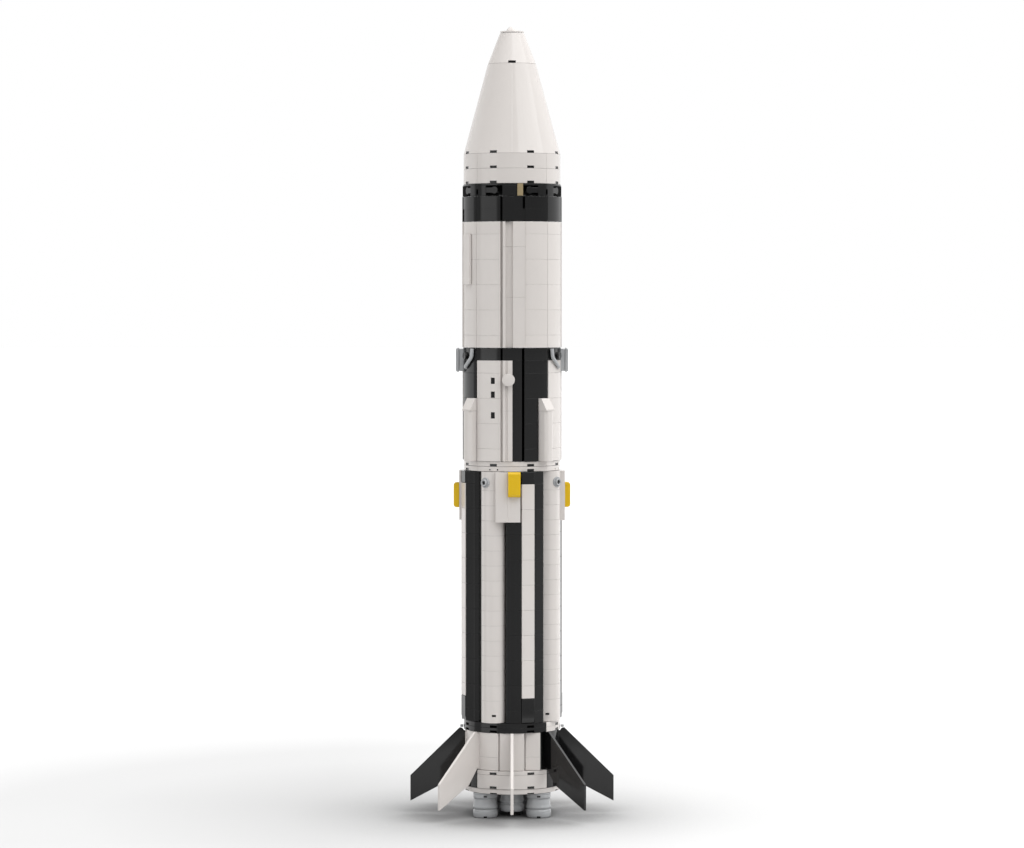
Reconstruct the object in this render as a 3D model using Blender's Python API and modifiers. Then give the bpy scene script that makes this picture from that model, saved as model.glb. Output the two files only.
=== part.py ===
"""Brick-built toy rocket: a first stage, an upper stage and a nose that pull apart.

Lengths are in millimetres until they become meshes. The origin is on the axis at the floor,
+Z up, with the front face towards -Y. A face has its own plan axes: u to the right as it is
seen from outside, and v straight out from the rocket's axis.
"""
import math

import bmesh
import bpy
from mathutils import Matrix

# Driving dimensions
MM = 0.001
GAP = 0.3                 # clearance between neighbouring pieces
PLATE = 3.2               # height of a thin brick plate
PITCH = 8.0               # brick module

# Heights above the floor
Z_DISC = 16.0
Z_BAND = Z_DISC + PLATE
Z_SKIRT = 31.0
Z_RING = Z_SKIRT + 3 * PITCH
Z_TANK = Z_RING + 2 * PLATE
Z_TANK_TOP = Z_TANK + 20 * PITCH
Z_SPLIT = Z_TANK_TOP + PLATE
Z_AFT = Z_SPLIT + PLATE
Z_AFT_TOP = Z_AFT + 9 * PITCH
Z_BLACK = Z_AFT_TOP + 10 * PITCH
Z_INSTRUMENTS = Z_BLACK + 2 * PITCH
Z_NOSE = Z_INSTRUMENTS + PITCH
Z_NOSE_MID = Z_NOSE + 3 * PLATE
Z_CONE = Z_NOSE_MID + 3 * PLATE
Z_CONE_TOP = Z_CONE + 57.6
Z_TIP = Z_CONE_TOP + 19.8
Z_TOP = Z_TIP + 4.1

# Radii and half widths
R_DISC = 31.0
R_BAND = 31.5
R_SKIRT = 30.5
R_RING = 31.0
R_UPPER = 32.0            # curved shoulders of the upper stage
V_UPPER = 31.7            # flat centre columns of the upper stage
R_INSTRUMENTS = 31.4
R_NOSE = 31.0
R_CONE_TOP = 15.5
R_TIP = 7.7
CORE = 16.0               # half width of the square core of the first stage

# First stage, plan of one face
TANK_U = -12.1
TANK_R = 7.5
TANK_V = 23.2
BLACK_V = 30.0
BLACK_LEFT = -4.3
SHOULDER_R = 32.7                  # the black tank's rounded corner
SHOULDER_U = 20.0
SHOULDER_V = 22.7
STRIP_TURN = 18.2                  # the strip faces this far round from its side's middle
STRIP = (-4.1, 4.25, 32.6)         # left and right of its own middle, radius
STRIP_DEPTH = 2.4
STRIP_Z = (77.4, 213.4)
END_TILE_CHAMFER = 3.4             # slant at the foot of the black tile under a strip
COVER = (-10.3, 5.3, 33.8)
COVER_HEIGHT = 4 * PITCH
YELLOW = (-2.5, 5.4, 37.4)
YELLOW_HEIGHT = 2 * PITCH

# Upper stage, plan of one face: the flat column, and the gaps beside it
WHITE_COLUMN = (-5.7, 8.3)
WHITE_GAPS = (1.4, 0.0)
CHANNEL = (-3.7, 0.6)              # the shallow channel down the white column
CHANNEL_DEPTH = 1.0
DARK_COLUMN = (-5.9, 6.3)
DARK_GAPS = (1.4, 1.6)
BAND_COLUMN = (-5.9, 8.2)
GROOVE_DEPTH = 2.1
PANEL_IN = 26.0
PANEL_TOP = Z_AFT_TOP - PITCH
POD_WIDTH = PITCH
POD_SIDE = -4.1                    # its middle, beside the corner's diagonal
POD_IN = 28.6
POD_AXIS = 33.5
POD_OUT = 37.8
POD_TOP = Z_AFT + 5 * PITCH
POD_EAVE = Z_AFT + 4 * PITCH
POD_ROUND = 3.75                   # radius of its half-round body
ROUND_TILE = (-2.3, 279.6, 4.2)    # u, height and radius of the front's round tile
TILE_STEM = 1.8
BRACKET_Z = (284.2, 299.4)
BRACKET_OUT = 35.9
BRACKET_CHAMFER = 1.0
# A hooked arm as (radius, bearing from the front, height)
HOOK = ((34.3, -82, 287.4), (34.2, -75, 287.4), (33.6, -64, 288.2), (33.6, -50.5, 295.2), (33.5, -49.3, 299.2))
HOOK_R = 1.0

# Instrument ring, plan of one face
SOCKETS = ((-12.5, -6.1), (7.7, 12.5))
SOCKET_IN = 28.6
SOCKET_Z = (396.4, 402.2)
BAND_SLOT = 1.5                    # width of the slot in the upper half of the black band
TAN_TILE = (3.3, 7.0)

# Fins
FIN_THICKNESS = 1.9
FIN_COLOURS = {-90: "black", -45: "white", 0: "white", 45: "black",
               90: "black", 135: "white", 180: "white", -135: "black"}

# Engines
ENGINE_R = 8.0
OUTER_ENGINE = 17.0
INNER_ENGINE = 11.5
INNER_LIFT = PLATE

FACES = ("front", "right", "back", "left")

COLOURS = {
    "white": ((0.80, 0.78, 0.76), 0.22),
    "black": ((0.022, 0.022, 0.024), 0.18),
    "grey": ((0.38, 0.40, 0.42), 0.28),
    "yellow": ((0.85, 0.56, 0.02), 0.22),
    "tan": ((0.55, 0.45, 0.28), 0.28),
}


# Scene and helpers
for old in list(bpy.data.objects):
    bpy.data.objects.remove(old)

rocket = bpy.data.collections.new("toy_rocket")
cutters = bpy.data.collections.new("cutters")
bpy.context.scene.collection.children.link(rocket)
bpy.context.scene.collection.children.link(cutters)


def make_material(name):
    colour, roughness = COLOURS[name]
    material = bpy.data.materials.new(name + "_plastic")
    material.use_nodes = True
    shader = material.node_tree.nodes["Principled BSDF"]
    shader.inputs["Base Color"].default_value = (*colour, 1.0)
    shader.inputs["Roughness"].default_value = roughness
    shader.inputs["Metallic"].default_value = 0.0
    return material


MATERIALS = {name: make_material(name) for name in COLOURS}


def add_body(name, z):
    """An empty that carries one separable stage, on its joint's axis."""
    empty = bpy.data.objects.new(name, None)
    empty.location = (0, 0, z * MM)
    rocket.objects.link(empty)
    return empty


first_stage = add_body("first_stage_frame", 0.0)
upper_stage = add_body("upper_stage_frame", Z_SPLIT)
nose = add_body("nose_frame", Z_NOSE)


def finish(obj, colour, body):
    """Puts a piece in the rocket's collection, coloured and parented to its stage."""
    obj.data.materials.clear()
    obj.data.materials.append(MATERIALS[colour])
    rocket.objects.link(obj)
    obj.parent = body
    obj.matrix_parent_inverse = Matrix.Translation(body.location).inverted()
    return obj


def as_cutter(obj):
    cutters.objects.link(obj)
    obj.hide_render = True
    obj.display_type = "WIRE"
    return obj


def boolean(obj, other, operation):
    modifier = obj.modifiers.new(operation.lower(), "BOOLEAN")
    modifier.object = other
    modifier.operation = operation
    modifier.solver = "EXACT"


def add_spline(curve, points):
    spline = curve.splines.new("POLY")
    spline.points.add(len(points) - 1)
    for point, (x, y, z) in zip(spline.points, points):
        point.co = (x * MM, y * MM, z * MM, 1)
    return spline


def solid_from_curve(name, curve):
    """The closed mesh of a curve, welded."""
    holder = bpy.data.objects.new(name + "_route", curve)
    bpy.context.scene.collection.objects.link(holder)
    graph = bpy.context.evaluated_depsgraph_get()
    mesh = bpy.data.meshes.new_from_object(holder.evaluated_get(graph))
    bpy.data.objects.remove(holder)
    form = bmesh.new()
    form.from_mesh(mesh)
    bmesh.ops.remove_doubles(form, verts=form.verts, dist=0.00001)
    bmesh.ops.recalc_face_normals(form, faces=form.faces)
    form.to_mesh(mesh)
    form.free()
    return bpy.data.objects.new(name, mesh)


def prism(name, outlines, z0, z1):
    """A flat outline in plan, with any holes after it, pulled up from z0 to z1."""
    curve = bpy.data.curves.new(name, "CURVE")
    curve.dimensions = "2D"
    curve.fill_mode = "BOTH"
    curve.extrude = (z1 - z0) / 2 * MM
    for outline in outlines:
        add_spline(curve, [(x, y, 0) for x, y in outline]).use_cyclic_u = True
    obj = solid_from_curve(name, curve)
    obj.data.transform(Matrix.Translation((0, 0, (z0 + z1) / 2 * MM)))
    return obj


def rod(name, points, radius):
    """A round bar along points given as (radius, bearing, height)."""
    curve = bpy.data.curves.new(name, "CURVE")
    curve.dimensions = "3D"
    curve.bevel_depth = radius * MM
    curve.bevel_resolution = 1
    curve.use_fill_caps = True
    add_spline(curve, [(*polar(r, bearing), z) for r, bearing, z in points])
    return solid_from_curve(name, curve)


def turned(name, profile, sides):
    """A profile of (radius, height) points, listed from the top down, turned about Z."""
    mesh = bpy.data.meshes.new(name)
    points = [(r * MM, 0, z * MM) for r, z in profile]
    mesh.from_pydata(points, [(i, i + 1) for i in range(len(points) - 1)], [])
    obj = bpy.data.objects.new(name, mesh)
    screw = obj.modifiers.new("turn", "SCREW")
    screw.steps = sides
    screw.render_steps = sides
    screw.use_merge_vertices = True
    screw.merge_threshold = 0.00001
    return obj


def smooth(obj, degrees=35):
    for face in obj.data.polygons:
        face.use_smooth = True
    obj.data.set_sharp_from_angle(angle=math.radians(degrees))


def polar(radius, degrees):
    """A plan point by radius and bearing, with 0 at the front and positive to the right."""
    angle = math.radians(degrees)
    return (radius * math.sin(angle), -radius * math.cos(angle))


def arc(radius, start, end, steps):
    return [polar(radius, start + (end - start) * i / steps) for i in range(steps + 1)]


def arc_uv(radius, start, end, steps):
    points = []
    for i in range(steps + 1):
        angle = math.radians(start + (end - start) * i / steps)
        points.append((radius * math.sin(angle), radius * math.cos(angle)))
    return points


def on_face(points, face):
    """Face coordinates (u, v) as plan points; face 0 is the front, then right, back, left."""
    turn = math.radians(90 * face)
    c, s = math.cos(turn), math.sin(turn)
    return [(u * c + v * s, u * s - v * c) for u, v in points]


def square(half):
    return [(-half, -half), (half, -half), (half, half), (-half, half)]


def radial_block(name, outline, left, right, bearing):
    """An outline of (radius, height) points in a radial plane, as thick as left to right."""
    block = prism(name, [outline], -right, -left)
    block.data.transform(Matrix.Rotation(math.radians(90), 4, "X"))
    block.data.transform(Matrix.Rotation(math.radians(bearing - 90), 4, "Z"))
    return block


def spin(obj, degrees):
    """Turns a piece about the rocket's axis, from the front towards the right."""
    obj.data.transform(Matrix.Rotation(math.radians(degrees), 4, "Z"))


# First stage: engines
ENGINE_PROFILE = [(0.0, 15.85), (7.0, 15.85), (7.0, 13.2), (7.6, 12.6), (8.0, 10.6), (8.0, 8.0),
                  (7.3, 7.0), (7.3, 6.4), (8.0, 5.6), (8.0, 1.6), (7.5, 0.9), (7.5, 0.0),
                  (5.9, 0.0), (5.9, 5.0), (0.0, 5.0)]
for number, bearing in enumerate((-45, 45, 135, -135), start=1):
    engine = turned("outer_engine_%d" % number, ENGINE_PROFILE, 20)
    smooth(engine)
    finish(engine, "grey", first_stage)
    x, y = polar(OUTER_ENGINE * math.sqrt(2), bearing)
    engine.location = (x * MM, y * MM, 0)

cluster = turned("inner_engine_cluster", [(0.0, 15.85), (14.0, 15.85), (14.0, 14.2), (0.0, 14.2)], 16)
finish(cluster, "grey", first_stage)
for number, bearing in enumerate((0, 90, 180, -90)):
    barrel = turned("inner_barrel_%d" % number,
                    [(r, min(z + INNER_LIFT, 15.0)) for r, z in ENGINE_PROFILE if z != 12.6], 16)
    x, y = polar(INNER_ENGINE, bearing)
    barrel.location = (x * MM, y * MM, 0)
    boolean(cluster, as_cutter(barrel), "UNION")

# First stage: base disc, lower band and skirt
disc = prism("base_disc", [arc(R_DISC, 0, 352.5, 47)], Z_DISC + GAP, Z_BAND - GAP / 2)
finish(disc, "white", first_stage)


def recessed_ring(name, radius, floor, quarters, steps, z0, z1):
    """A ring on the square core whose bearings in quarters are sunk to take other panels."""
    outline = []
    for start, end, sunk in quarters:
        reach = floor if sunk else radius
        outline += arc(reach, start + 0.02, end - 0.02, max(2, int((end - start) / steps)))
    return prism(name, [outline, square(CORE + GAP)], z0, z1)


def sector(name, r_out, r_in, start, end, z0, z1):
    steps = max(2, int((end - start) / 7.5))
    side = math.degrees(GAP / r_out)
    outline = arc(r_out, start + side, end - side, steps)
    outline += arc(r_in, end - side, start + side, steps)
    return prism(name, [outline], z0, z1)


band_floor = 26.0
band_white = recessed_ring("lower_band_white", R_BAND, band_floor,
                           [(-45, 45, False), (45, 135, True), (135, 225, False), (225, 315, True)],
                           7.5, Z_BAND + GAP / 2, Z_SKIRT - GAP / 2)
finish(band_white, "white", first_stage)
for side, start in (("right", 45), ("left", 225)):
    panel = sector("lower_band_black_" + side, R_BAND, band_floor + GAP, start, start + 90,
                   Z_BAND + GAP / 2, Z_SKIRT - GAP / 2)
    finish(panel, "black", first_stage)

skirt_white = recessed_ring("skirt_white", R_SKIRT, band_floor,
                            [(-90, 45, False), (45, 90, True), (90, 225, False), (225, 270, True)],
                            7.5, Z_SKIRT + GAP / 2, Z_RING - GAP / 2)
finish(skirt_white, "white", first_stage)
for side, start in (("right", 45), ("left", 225)):
    panel = sector("skirt_black_" + side, R_SKIRT, band_floor + GAP, start, start + 45,
                   Z_SKIRT + GAP / 2, Z_RING - GAP / 2)
    finish(panel, "black", first_stage)

# First stage: fins
FIN_INNER = R_SKIRT + GAP
FIN_OUTLINE = [(39.4, 21.8), (65.4, 8.0), (65.4, 24.5), (33.6, 55.4), (FIN_INNER + 0.5, 54.7),
               (FIN_INNER, 54.0), (FIN_INNER, Z_SKIRT + 0.8), (FIN_INNER + 1.3, Z_SKIRT + 0.8)]
FIN_NAMES = {-90: "left", -45: "front_left", 0: "front", 45: "front_right",
             90: "right", 135: "back_right", 180: "back", -135: "back_left"}
for bearing, colour in FIN_COLOURS.items():
    fin = prism("fin_%s_%s" % (colour, FIN_NAMES[bearing]), [FIN_OUTLINE],
                -FIN_THICKNESS / 2, FIN_THICKNESS / 2)
    fin.data.transform(Matrix.Rotation(math.radians(90), 4, "X"))
    fin.data.transform(Matrix.Rotation(math.radians(bearing - 90), 4, "Z"))
    finish(fin, colour, first_stage)

# First stage: lower ring, in a black and a white half
for colour, start in (("black", -135), ("white", 45)):
    corner = CORE + GAP
    side = math.degrees(GAP / 2 / R_RING)
    outer = arc(R_RING, start + side, start + 180 - side, 24)
    inner = [polar(corner * math.sqrt(2), start + 180 - side),
             polar(corner * math.sqrt(2), start + 90),
             polar(corner * math.sqrt(2), start + side)]
    ring = prism("lower_ring_" + colour, [outer + inner], Z_RING + GAP / 2, Z_TANK - GAP / 2)
    finish(ring, colour, first_stage)

# First stage: core with its top ring and studs
core = prism("first_stage_core", [square(CORE)], Z_BAND + GAP / 2, Z_TANK_TOP + 1.0)
finish(core, "white", first_stage)
top_ring = prism("core_top_ring", [arc(R_RING, 0, 352.5, 47)], Z_TANK_TOP + GAP / 2, Z_SPLIT - GAP / 2)
boolean(core, as_cutter(top_ring), "UNION")
STUD_R = 2.4
STUD_HEIGHT = 1.7


def studs(prefix, obj, z, rows):
    for number, (x, y) in enumerate(rows):
        stud = prism("%s_%d" % (prefix, number), [[(x + STUD_R * math.cos(math.radians(a)),
                     y + STUD_R * math.sin(math.radians(a))) for a in range(0, 360, 45)]],
                     z - 1.0, z + STUD_HEIGHT)
        boolean(obj, as_cutter(stud), "UNION")


STUD_ROWS = [(x, y) for x in (-12, -4, 4, 12) for y in (-12, -4, 4, 12) if abs(x) + abs(y) < 20]
studs("stage_stud", core, Z_SPLIT - GAP / 2, STUD_ROWS)

# First stage: tanks, strips, covers and yellow pieces on each of the four faces
def turned_uv(across, out):
    """Face coordinates of a point in the strip's own frame, which is turned from the face's."""
    c, s = math.cos(math.radians(STRIP_TURN)), math.sin(math.radians(STRIP_TURN))
    return (out * s + across * c, out * c - across * s)


for face, side in enumerate(FACES):
    low = Z_TANK + GAP / 2
    high = Z_TANK_TOP - GAP / 2
    inner = CORE + GAP
    left, right = TANK_U - TANK_R, TANK_U + TANK_R
    round_top = [(TANK_U + TANK_R * math.cos(math.radians(a)), TANK_V + TANK_R * math.sin(math.radians(a)))
                 for a in range(180, -1, -18)]
    tank = prism("white_tank_" + side, [on_face([(left, inner)] + round_top + [(right, inner)], face)],
                 low, high)
    cover_left, cover_right, cover_out = COVER
    cover = prism("cover_" + side, [on_face([(cover_left, 26.0), (cover_left, cover_out),
                  (cover_right, cover_out), (cover_right, BLACK_V + GAP), (right - 0.4, BLACK_V + GAP),
                  (right - 0.4, 26.0)], face)], Z_TANK_TOP - COVER_HEIGHT, high - 0.1)
    boolean(tank, as_cutter(cover), "UNION")
    finish(tank, "white", first_stage)

    strip_left, strip_right, strip_out = STRIP
    strip_in = strip_out - STRIP_DEPTH
    bed_end = strip_right + GAP
    bed_start = -(BLACK_V / math.cos(math.radians(STRIP_TURN)) - strip_in) / math.tan(math.radians(STRIP_TURN))
    bed = [turned_uv(bed_start, strip_in), turned_uv(bed_end, strip_in), turned_uv(bed_end, strip_out - GAP)]
    shoulder = arc_uv(SHOULDER_R, 26.5, math.degrees(math.asin(SHOULDER_U / SHOULDER_R)), 3)
    black = prism("black_tank_" + side, [on_face([(BLACK_LEFT, inner), (BLACK_LEFT, BLACK_V)] + bed + shoulder
                  + [(SHOULDER_U, SHOULDER_V), (CORE - GAP, SHOULDER_V), (CORE - GAP, inner)], face)], low, high)
    tile_in = strip_in - 1
    upper_tile = [(tile_in, STRIP_Z[1] + GAP), (strip_out, STRIP_Z[1] + GAP), (strip_out, high - 0.05),
                  (tile_in, high - 0.05)]
    lower_tile = [(tile_in, low + 0.3), (strip_out - 0.6, low + 0.3), (strip_out, low + END_TILE_CHAMFER),
                  (strip_out, STRIP_Z[0] - GAP), (tile_in, STRIP_Z[0] - GAP)]
    strip_bearing = 90 * face + STRIP_TURN
    for end, profile in (("upper", upper_tile), ("lower", lower_tile)):
        tile = radial_block("%s_end_tile_%s" % (end, side), profile, strip_left, bed_end + 0.1, strip_bearing)
        boolean(black, as_cutter(tile), "UNION")
    finish(black, "black", first_stage)

    strip_low, strip_high = STRIP_Z
    strip = radial_block("strip_" + side, [(strip_in + GAP, strip_low), (strip_out, strip_low),
                         (strip_out, strip_high), (strip_in + GAP, strip_high)],
                         strip_left, strip_right, strip_bearing)
    finish(strip, "white", first_stage)

    drop = 0.0 if face in (0, 2) else PITCH
    y_left, y_right, y_out = YELLOW
    v0 = cover_out + GAP
    top = Z_TANK_TOP - drop
    bottom = top - YELLOW_HEIGHT
    chamfer = 1.9
    outline = [(v0, bottom), (y_out - chamfer, bottom), (y_out - 0.5, bottom + 0.6),
               (y_out, bottom + chamfer), (y_out, top - chamfer), (y_out - 0.5, top - 0.6),
               (y_out - chamfer, top), (v0, top)]
    yellow = radial_block("yellow_piece_" + side, outline, y_left, y_right, 90 * face)
    finish(yellow, "yellow", first_stage)


# Upper stage
def upper_face(column, gaps, channel):
    """One face of the upper stage in plan, from its left corner to its right corner."""
    left, right = column
    left_gap, right_gap = gaps
    floor = V_UPPER - GROOVE_DEPTH
    bearing_left = -math.degrees(math.asin((left_gap - left) / R_UPPER))
    bearing_right = math.degrees(math.asin((right_gap + right) / R_UPPER))
    points = arc_uv(R_UPPER, -44.5, bearing_left, 4)
    points += [(left - left_gap, floor), (left, floor), (left, V_UPPER)]
    if channel:
        sunk = V_UPPER - CHANNEL_DEPTH
        points += [(channel[0], V_UPPER), (channel[0], sunk), (channel[1], sunk), (channel[1], V_UPPER)]
    points.append((right, V_UPPER))
    if right_gap:
        points += [(right, floor), (right + right_gap, floor)]
    points += arc_uv(R_UPPER, bearing_right, 44.5, 4)
    return points


def upper_outline(column, gaps, channel=None):
    notch = (R_UPPER - 0.8) / math.sqrt(2)
    outline = []
    for face in range(4):
        outline += on_face(upper_face(column, gaps, channel) + [(notch, notch)], face)
    return outline


RECESS_R = 20.5
low_ring = prism("interstage_ring", [arc(R_RING, 0, 352.5, 47)], Z_SPLIT + GAP / 2, Z_AFT - GAP / 2)
stud_recess = prism("stage_recess", [arc(RECESS_R, 0, 345, 23)], Z_SPLIT - 1.0, Z_SPLIT + STUD_HEIGHT + 0.4)
boolean(low_ring, as_cutter(stud_recess), "DIFFERENCE")
finish(low_ring, "white", upper_stage)


def pod_seat(name, face):
    """The room that one corner pod takes out of the black section."""
    low = Z_AFT + GAP / 2
    outline = [(POD_IN - GAP, low - 1.0), (POD_OUT + 2, low - 1.0), (POD_OUT + 2, POD_TOP + GAP),
               (POD_IN - GAP, POD_TOP + GAP)]
    left = POD_SIDE - POD_WIDTH / 2
    right = POD_SIDE + POD_WIDTH / 2
    return radial_block(name, outline, left - GAP, right + 3 * GAP, 45 + 90 * face)


def pod_column(name, face):
    """The half-round body of one corner pod."""
    radius = POD_ROUND
    outline = [(POD_SIDE + radius, POD_IN + 0.2)]
    for step in range(9):
        angle = math.pi * step / 8
        outline.append((POD_SIDE + radius * math.cos(angle), POD_AXIS + radius * math.sin(angle)))
    outline.append((POD_SIDE - radius, POD_IN + 0.2))
    return prism(name, [on_face(outline, face + 0.5)], Z_AFT + GAP / 2, POD_EAVE + 0.5)


def pod_wedge(name, face):
    """The sloped head on a pod."""
    outline = [(POD_IN, POD_EAVE), (POD_OUT, POD_EAVE), (POD_OUT, POD_EAVE + 1.0), (POD_AXIS, POD_TOP),
               (POD_IN, POD_TOP)]
    return radial_block(name, outline, POD_SIDE - POD_WIDTH / 2, POD_SIDE + POD_WIDTH / 2, 45 + 90 * face)


def pod_foot(name, face):
    """The tongue under a pod's side that runs into the white panel round the corner."""
    low = Z_AFT + GAP / 2
    outline = [(POD_IN, low), (POD_IN + 2.4, low), (POD_IN + 2.4, POD_TOP - 1.0), (POD_IN, POD_TOP - 1.0)]
    return radial_block(name, outline, POD_SIDE, 2.2, 45 + 90 * face)


aft_black = prism("aft_section_black", [upper_outline(DARK_COLUMN, DARK_GAPS)], Z_AFT + GAP / 2,
                  Z_AFT_TOP - GAP / 2)
for face, side in enumerate(FACES):
    cut = [(0.15, PANEL_IN - GAP), (0.15, 40.0), (-40.0, 40.0)]
    notch = (PANEL_IN - GAP) / math.sqrt(2)
    cut += [(-notch, notch)] + arc_uv(PANEL_IN - GAP, -38, -4, 4)
    cutter = prism("panel_seat_" + side, [on_face(cut, face)], Z_AFT - 1.0, PANEL_TOP + GAP / 2)
    boolean(aft_black, as_cutter(cutter), "DIFFERENCE")
for face, side in enumerate(FACES):
    boolean(aft_black, as_cutter(pod_seat("pod_seat_" + side, face)), "DIFFERENCE")
finish(aft_black, "black", upper_stage)

for face, side in enumerate(FACES):
    inner_notch = PANEL_IN / math.sqrt(2)
    column_left = DARK_COLUMN[0]
    gap_left = column_left - DARK_GAPS[0]
    floor = V_UPPER - GROOVE_DEPTH
    outline = arc_uv(R_UPPER, -44.6, math.degrees(math.asin(gap_left / R_UPPER)), 4)
    outline += [(gap_left, floor), (column_left, floor), (column_left, V_UPPER),
                (-0.15, V_UPPER), (-0.15, PANEL_IN)]
    outline += arc_uv(PANEL_IN, -4, -38, 4) + [(-inner_notch + 0.2, inner_notch + 0.2)]
    panel = prism("aft_panel_white_" + side, [on_face(outline, face)], Z_AFT + GAP / 2, PANEL_TOP - GAP / 2)
    boolean(panel, as_cutter(pod_column("pod_" + side, face - 1)), "UNION")
    boolean(panel, as_cutter(pod_wedge("pod_head_" + side, face - 1)), "UNION")
    boolean(panel, as_cutter(pod_foot("pod_foot_" + side, face - 1)), "UNION")
    if face == 0:
        u, z, radius = ROUND_TILE
        for part, reach, v0, v1 in (("tile", radius, V_UPPER + GAP, V_UPPER + 3.0),
                                    ("stem", TILE_STEM, V_UPPER - 1.0, V_UPPER + 1.0)):
            disc = turned("round_%s" % part, [(0.0, v1), (reach, v1), (reach, v0), (0.0, v0)], 20)
            disc.rotation_euler = (math.radians(90), 0, 0)
            disc.location = (u * MM, 0, z * MM)
            boolean(panel, as_cutter(disc), "UNION")
    finish(panel, "white", upper_stage)

white_section = prism("white_section", [upper_outline(WHITE_COLUMN, WHITE_GAPS, CHANNEL)],
                      Z_AFT_TOP + GAP / 2, Z_BLACK - GAP / 2)
finish(white_section, "white", upper_stage)

black_band = prism("black_band", [upper_outline(BAND_COLUMN, WHITE_GAPS)], Z_BLACK + GAP / 2,
                   Z_INSTRUMENTS - GAP / 2)
for face, side in enumerate(FACES):
    slot = [(V_UPPER - GROOVE_DEPTH, Z_BLACK + PITCH), (40.0, Z_BLACK + PITCH), (40.0, Z_INSTRUMENTS + 1.0),
            (V_UPPER - GROOVE_DEPTH, Z_INSTRUMENTS + 1.0)]
    cutter = radial_block("band_slot_" + side, slot, BAND_COLUMN[1] - BAND_SLOT, BAND_COLUMN[1], 90 * face)
    boolean(black_band, as_cutter(cutter), "DIFFERENCE")
finish(black_band, "black", upper_stage)

instruments = prism("instrument_ring", [arc(R_INSTRUMENTS, 0, 352.5, 47)],
                    Z_INSTRUMENTS + GAP / 2, Z_NOSE - GAP / 2)
studs("nose_stud", instruments, Z_NOSE - GAP / 2, STUD_ROWS)
for face, side in enumerate(FACES):
    for place, (left, right) in zip(("left", "right"), SOCKETS):
        low, high = SOCKET_Z
        socket = [(SOCKET_IN, low), (40.0, low), (40.0, high), (SOCKET_IN, high)]
        cutter = radial_block("socket_%s_%s" % (side, place), socket, left, right, 90 * face)
        boolean(instruments, as_cutter(cutter), "DIFFERENCE")
tan_notch = [(SOCKET_IN, Z_INSTRUMENTS - 1), (40.0, Z_INSTRUMENTS - 1), (40.0, Z_NOSE + 1),
             (SOCKET_IN, Z_NOSE + 1)]
cutter = radial_block("tan_notch", tan_notch, TAN_TILE[0] - GAP, SOCKETS[1][0] + 1.0, 0)
boolean(instruments, as_cutter(cutter), "DIFFERENCE")
finish(instruments, "black", upper_stage)
tan_in = SOCKET_IN + GAP
tan_out = R_INSTRUMENTS - 0.2
tan_low = Z_INSTRUMENTS + GAP / 2
tan_high = Z_NOSE - GAP / 2
tan_outline = [(tan_in, tan_low), (tan_out, tan_low), (tan_out, tan_high), (tan_in, tan_high)]
tan_tile = radial_block("tan_tile", tan_outline, *TAN_TILE, 0)
finish(tan_tile, "tan", upper_stage)

# Grey side brackets, with a hooked arm at each end
for side, face in (("right", 1), ("left", 3)):
    z0, z1 = BRACKET_Z
    edge = BRACKET_CHAMFER
    outline = [(V_UPPER + GAP, z0), (BRACKET_OUT - edge, z0), (BRACKET_OUT, z0 + edge),
               (BRACKET_OUT, z1 - edge), (BRACKET_OUT - edge, z1), (V_UPPER + GAP, z1)]
    bracket = radial_block("bracket_" + side, outline, -PITCH, PITCH, 90 * face)
    for end, sign in (("a", 1), ("b", -1)):
        route = [(r, 90 * face + sign * (90 + bearing), z) for r, bearing, z in HOOK]
        boolean(bracket, as_cutter(rod("hook_%s_%s" % (side, end), route, HOOK_R)), "UNION")
    finish(bracket, "grey", upper_stage)

# Raised plate on the left face
plate = prism("raised_plate", [[(-4.0, R_UPPER + 0.3), (-4.0, R_UPPER + 1.6), (4.0, R_UPPER + 1.6),
              (4.0, R_UPPER + 0.3)]], 339.8, 371.8)
plate.data.transform(Matrix.Scale(-1, 4, (0, 1, 0)))
plate.data.flip_normals()
spin(plate, -60)
finish(plate, "white", upper_stage)

# Nose
nose_low = prism("nose_ring_lower", [arc(R_NOSE, 0, 352.5, 47)], Z_NOSE + GAP / 2, Z_NOSE_MID - GAP / 2)
nose_recess = prism("nose_recess", [arc(RECESS_R, 0, 345, 23)], Z_NOSE - 1.0, Z_NOSE + STUD_HEIGHT + 0.4)
boolean(nose_low, as_cutter(nose_recess), "DIFFERENCE")
finish(nose_low, "white", nose)
nose_high = prism("nose_ring_upper", [arc(R_NOSE, 0, 352.5, 47)], Z_NOSE_MID + GAP / 2, Z_CONE - GAP / 2)
finish(nose_high, "white", nose)

for side, sign in (("left", -1), ("right", 1)):
    cone = turned("nose_cone_" + side, [(0.0, Z_CONE_TOP - GAP / 2), (R_CONE_TOP, Z_CONE_TOP - GAP / 2),
                  (R_NOSE, Z_CONE + GAP / 2), (0.0, Z_CONE + GAP / 2)], 48)
    smooth(cone)
    x0, x1 = sorted((sign * -GAP / 2, sign * 40.0))
    cut = [(-x0, -40.0), (-x0, 40.0), (-x1, 40.0), (-x1, -40.0)]
    half = prism("cone_cut_" + side, [cut], Z_CONE - 5, Z_CONE_TOP + 5)
    boolean(cone, as_cutter(half), "DIFFERENCE")
    finish(cone, "white", nose)

upper_cone = turned("nose_cone_upper", [(0.0, Z_TIP - GAP / 2), (R_TIP, Z_TIP - GAP / 2),
                    (R_CONE_TOP, Z_CONE_TOP + GAP / 2), (0.0, Z_CONE_TOP + GAP / 2)], 40)
smooth(upper_cone)
finish(upper_cone, "white", nose)
tip = turned("nose_tip", [(0.0, Z_TOP), (1.6, Z_TOP), (2.6, Z_TOP - 0.5), (4.0, Z_TOP - 2.4),
             (4.0, Z_TIP + 1.2), (R_TIP, Z_TIP + 1.2), (R_TIP, Z_TIP + GAP / 2), (0.0, Z_TIP + GAP / 2)], 24)
smooth(tip)
finish(tip, "white", nose)
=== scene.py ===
import math
import random

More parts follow.
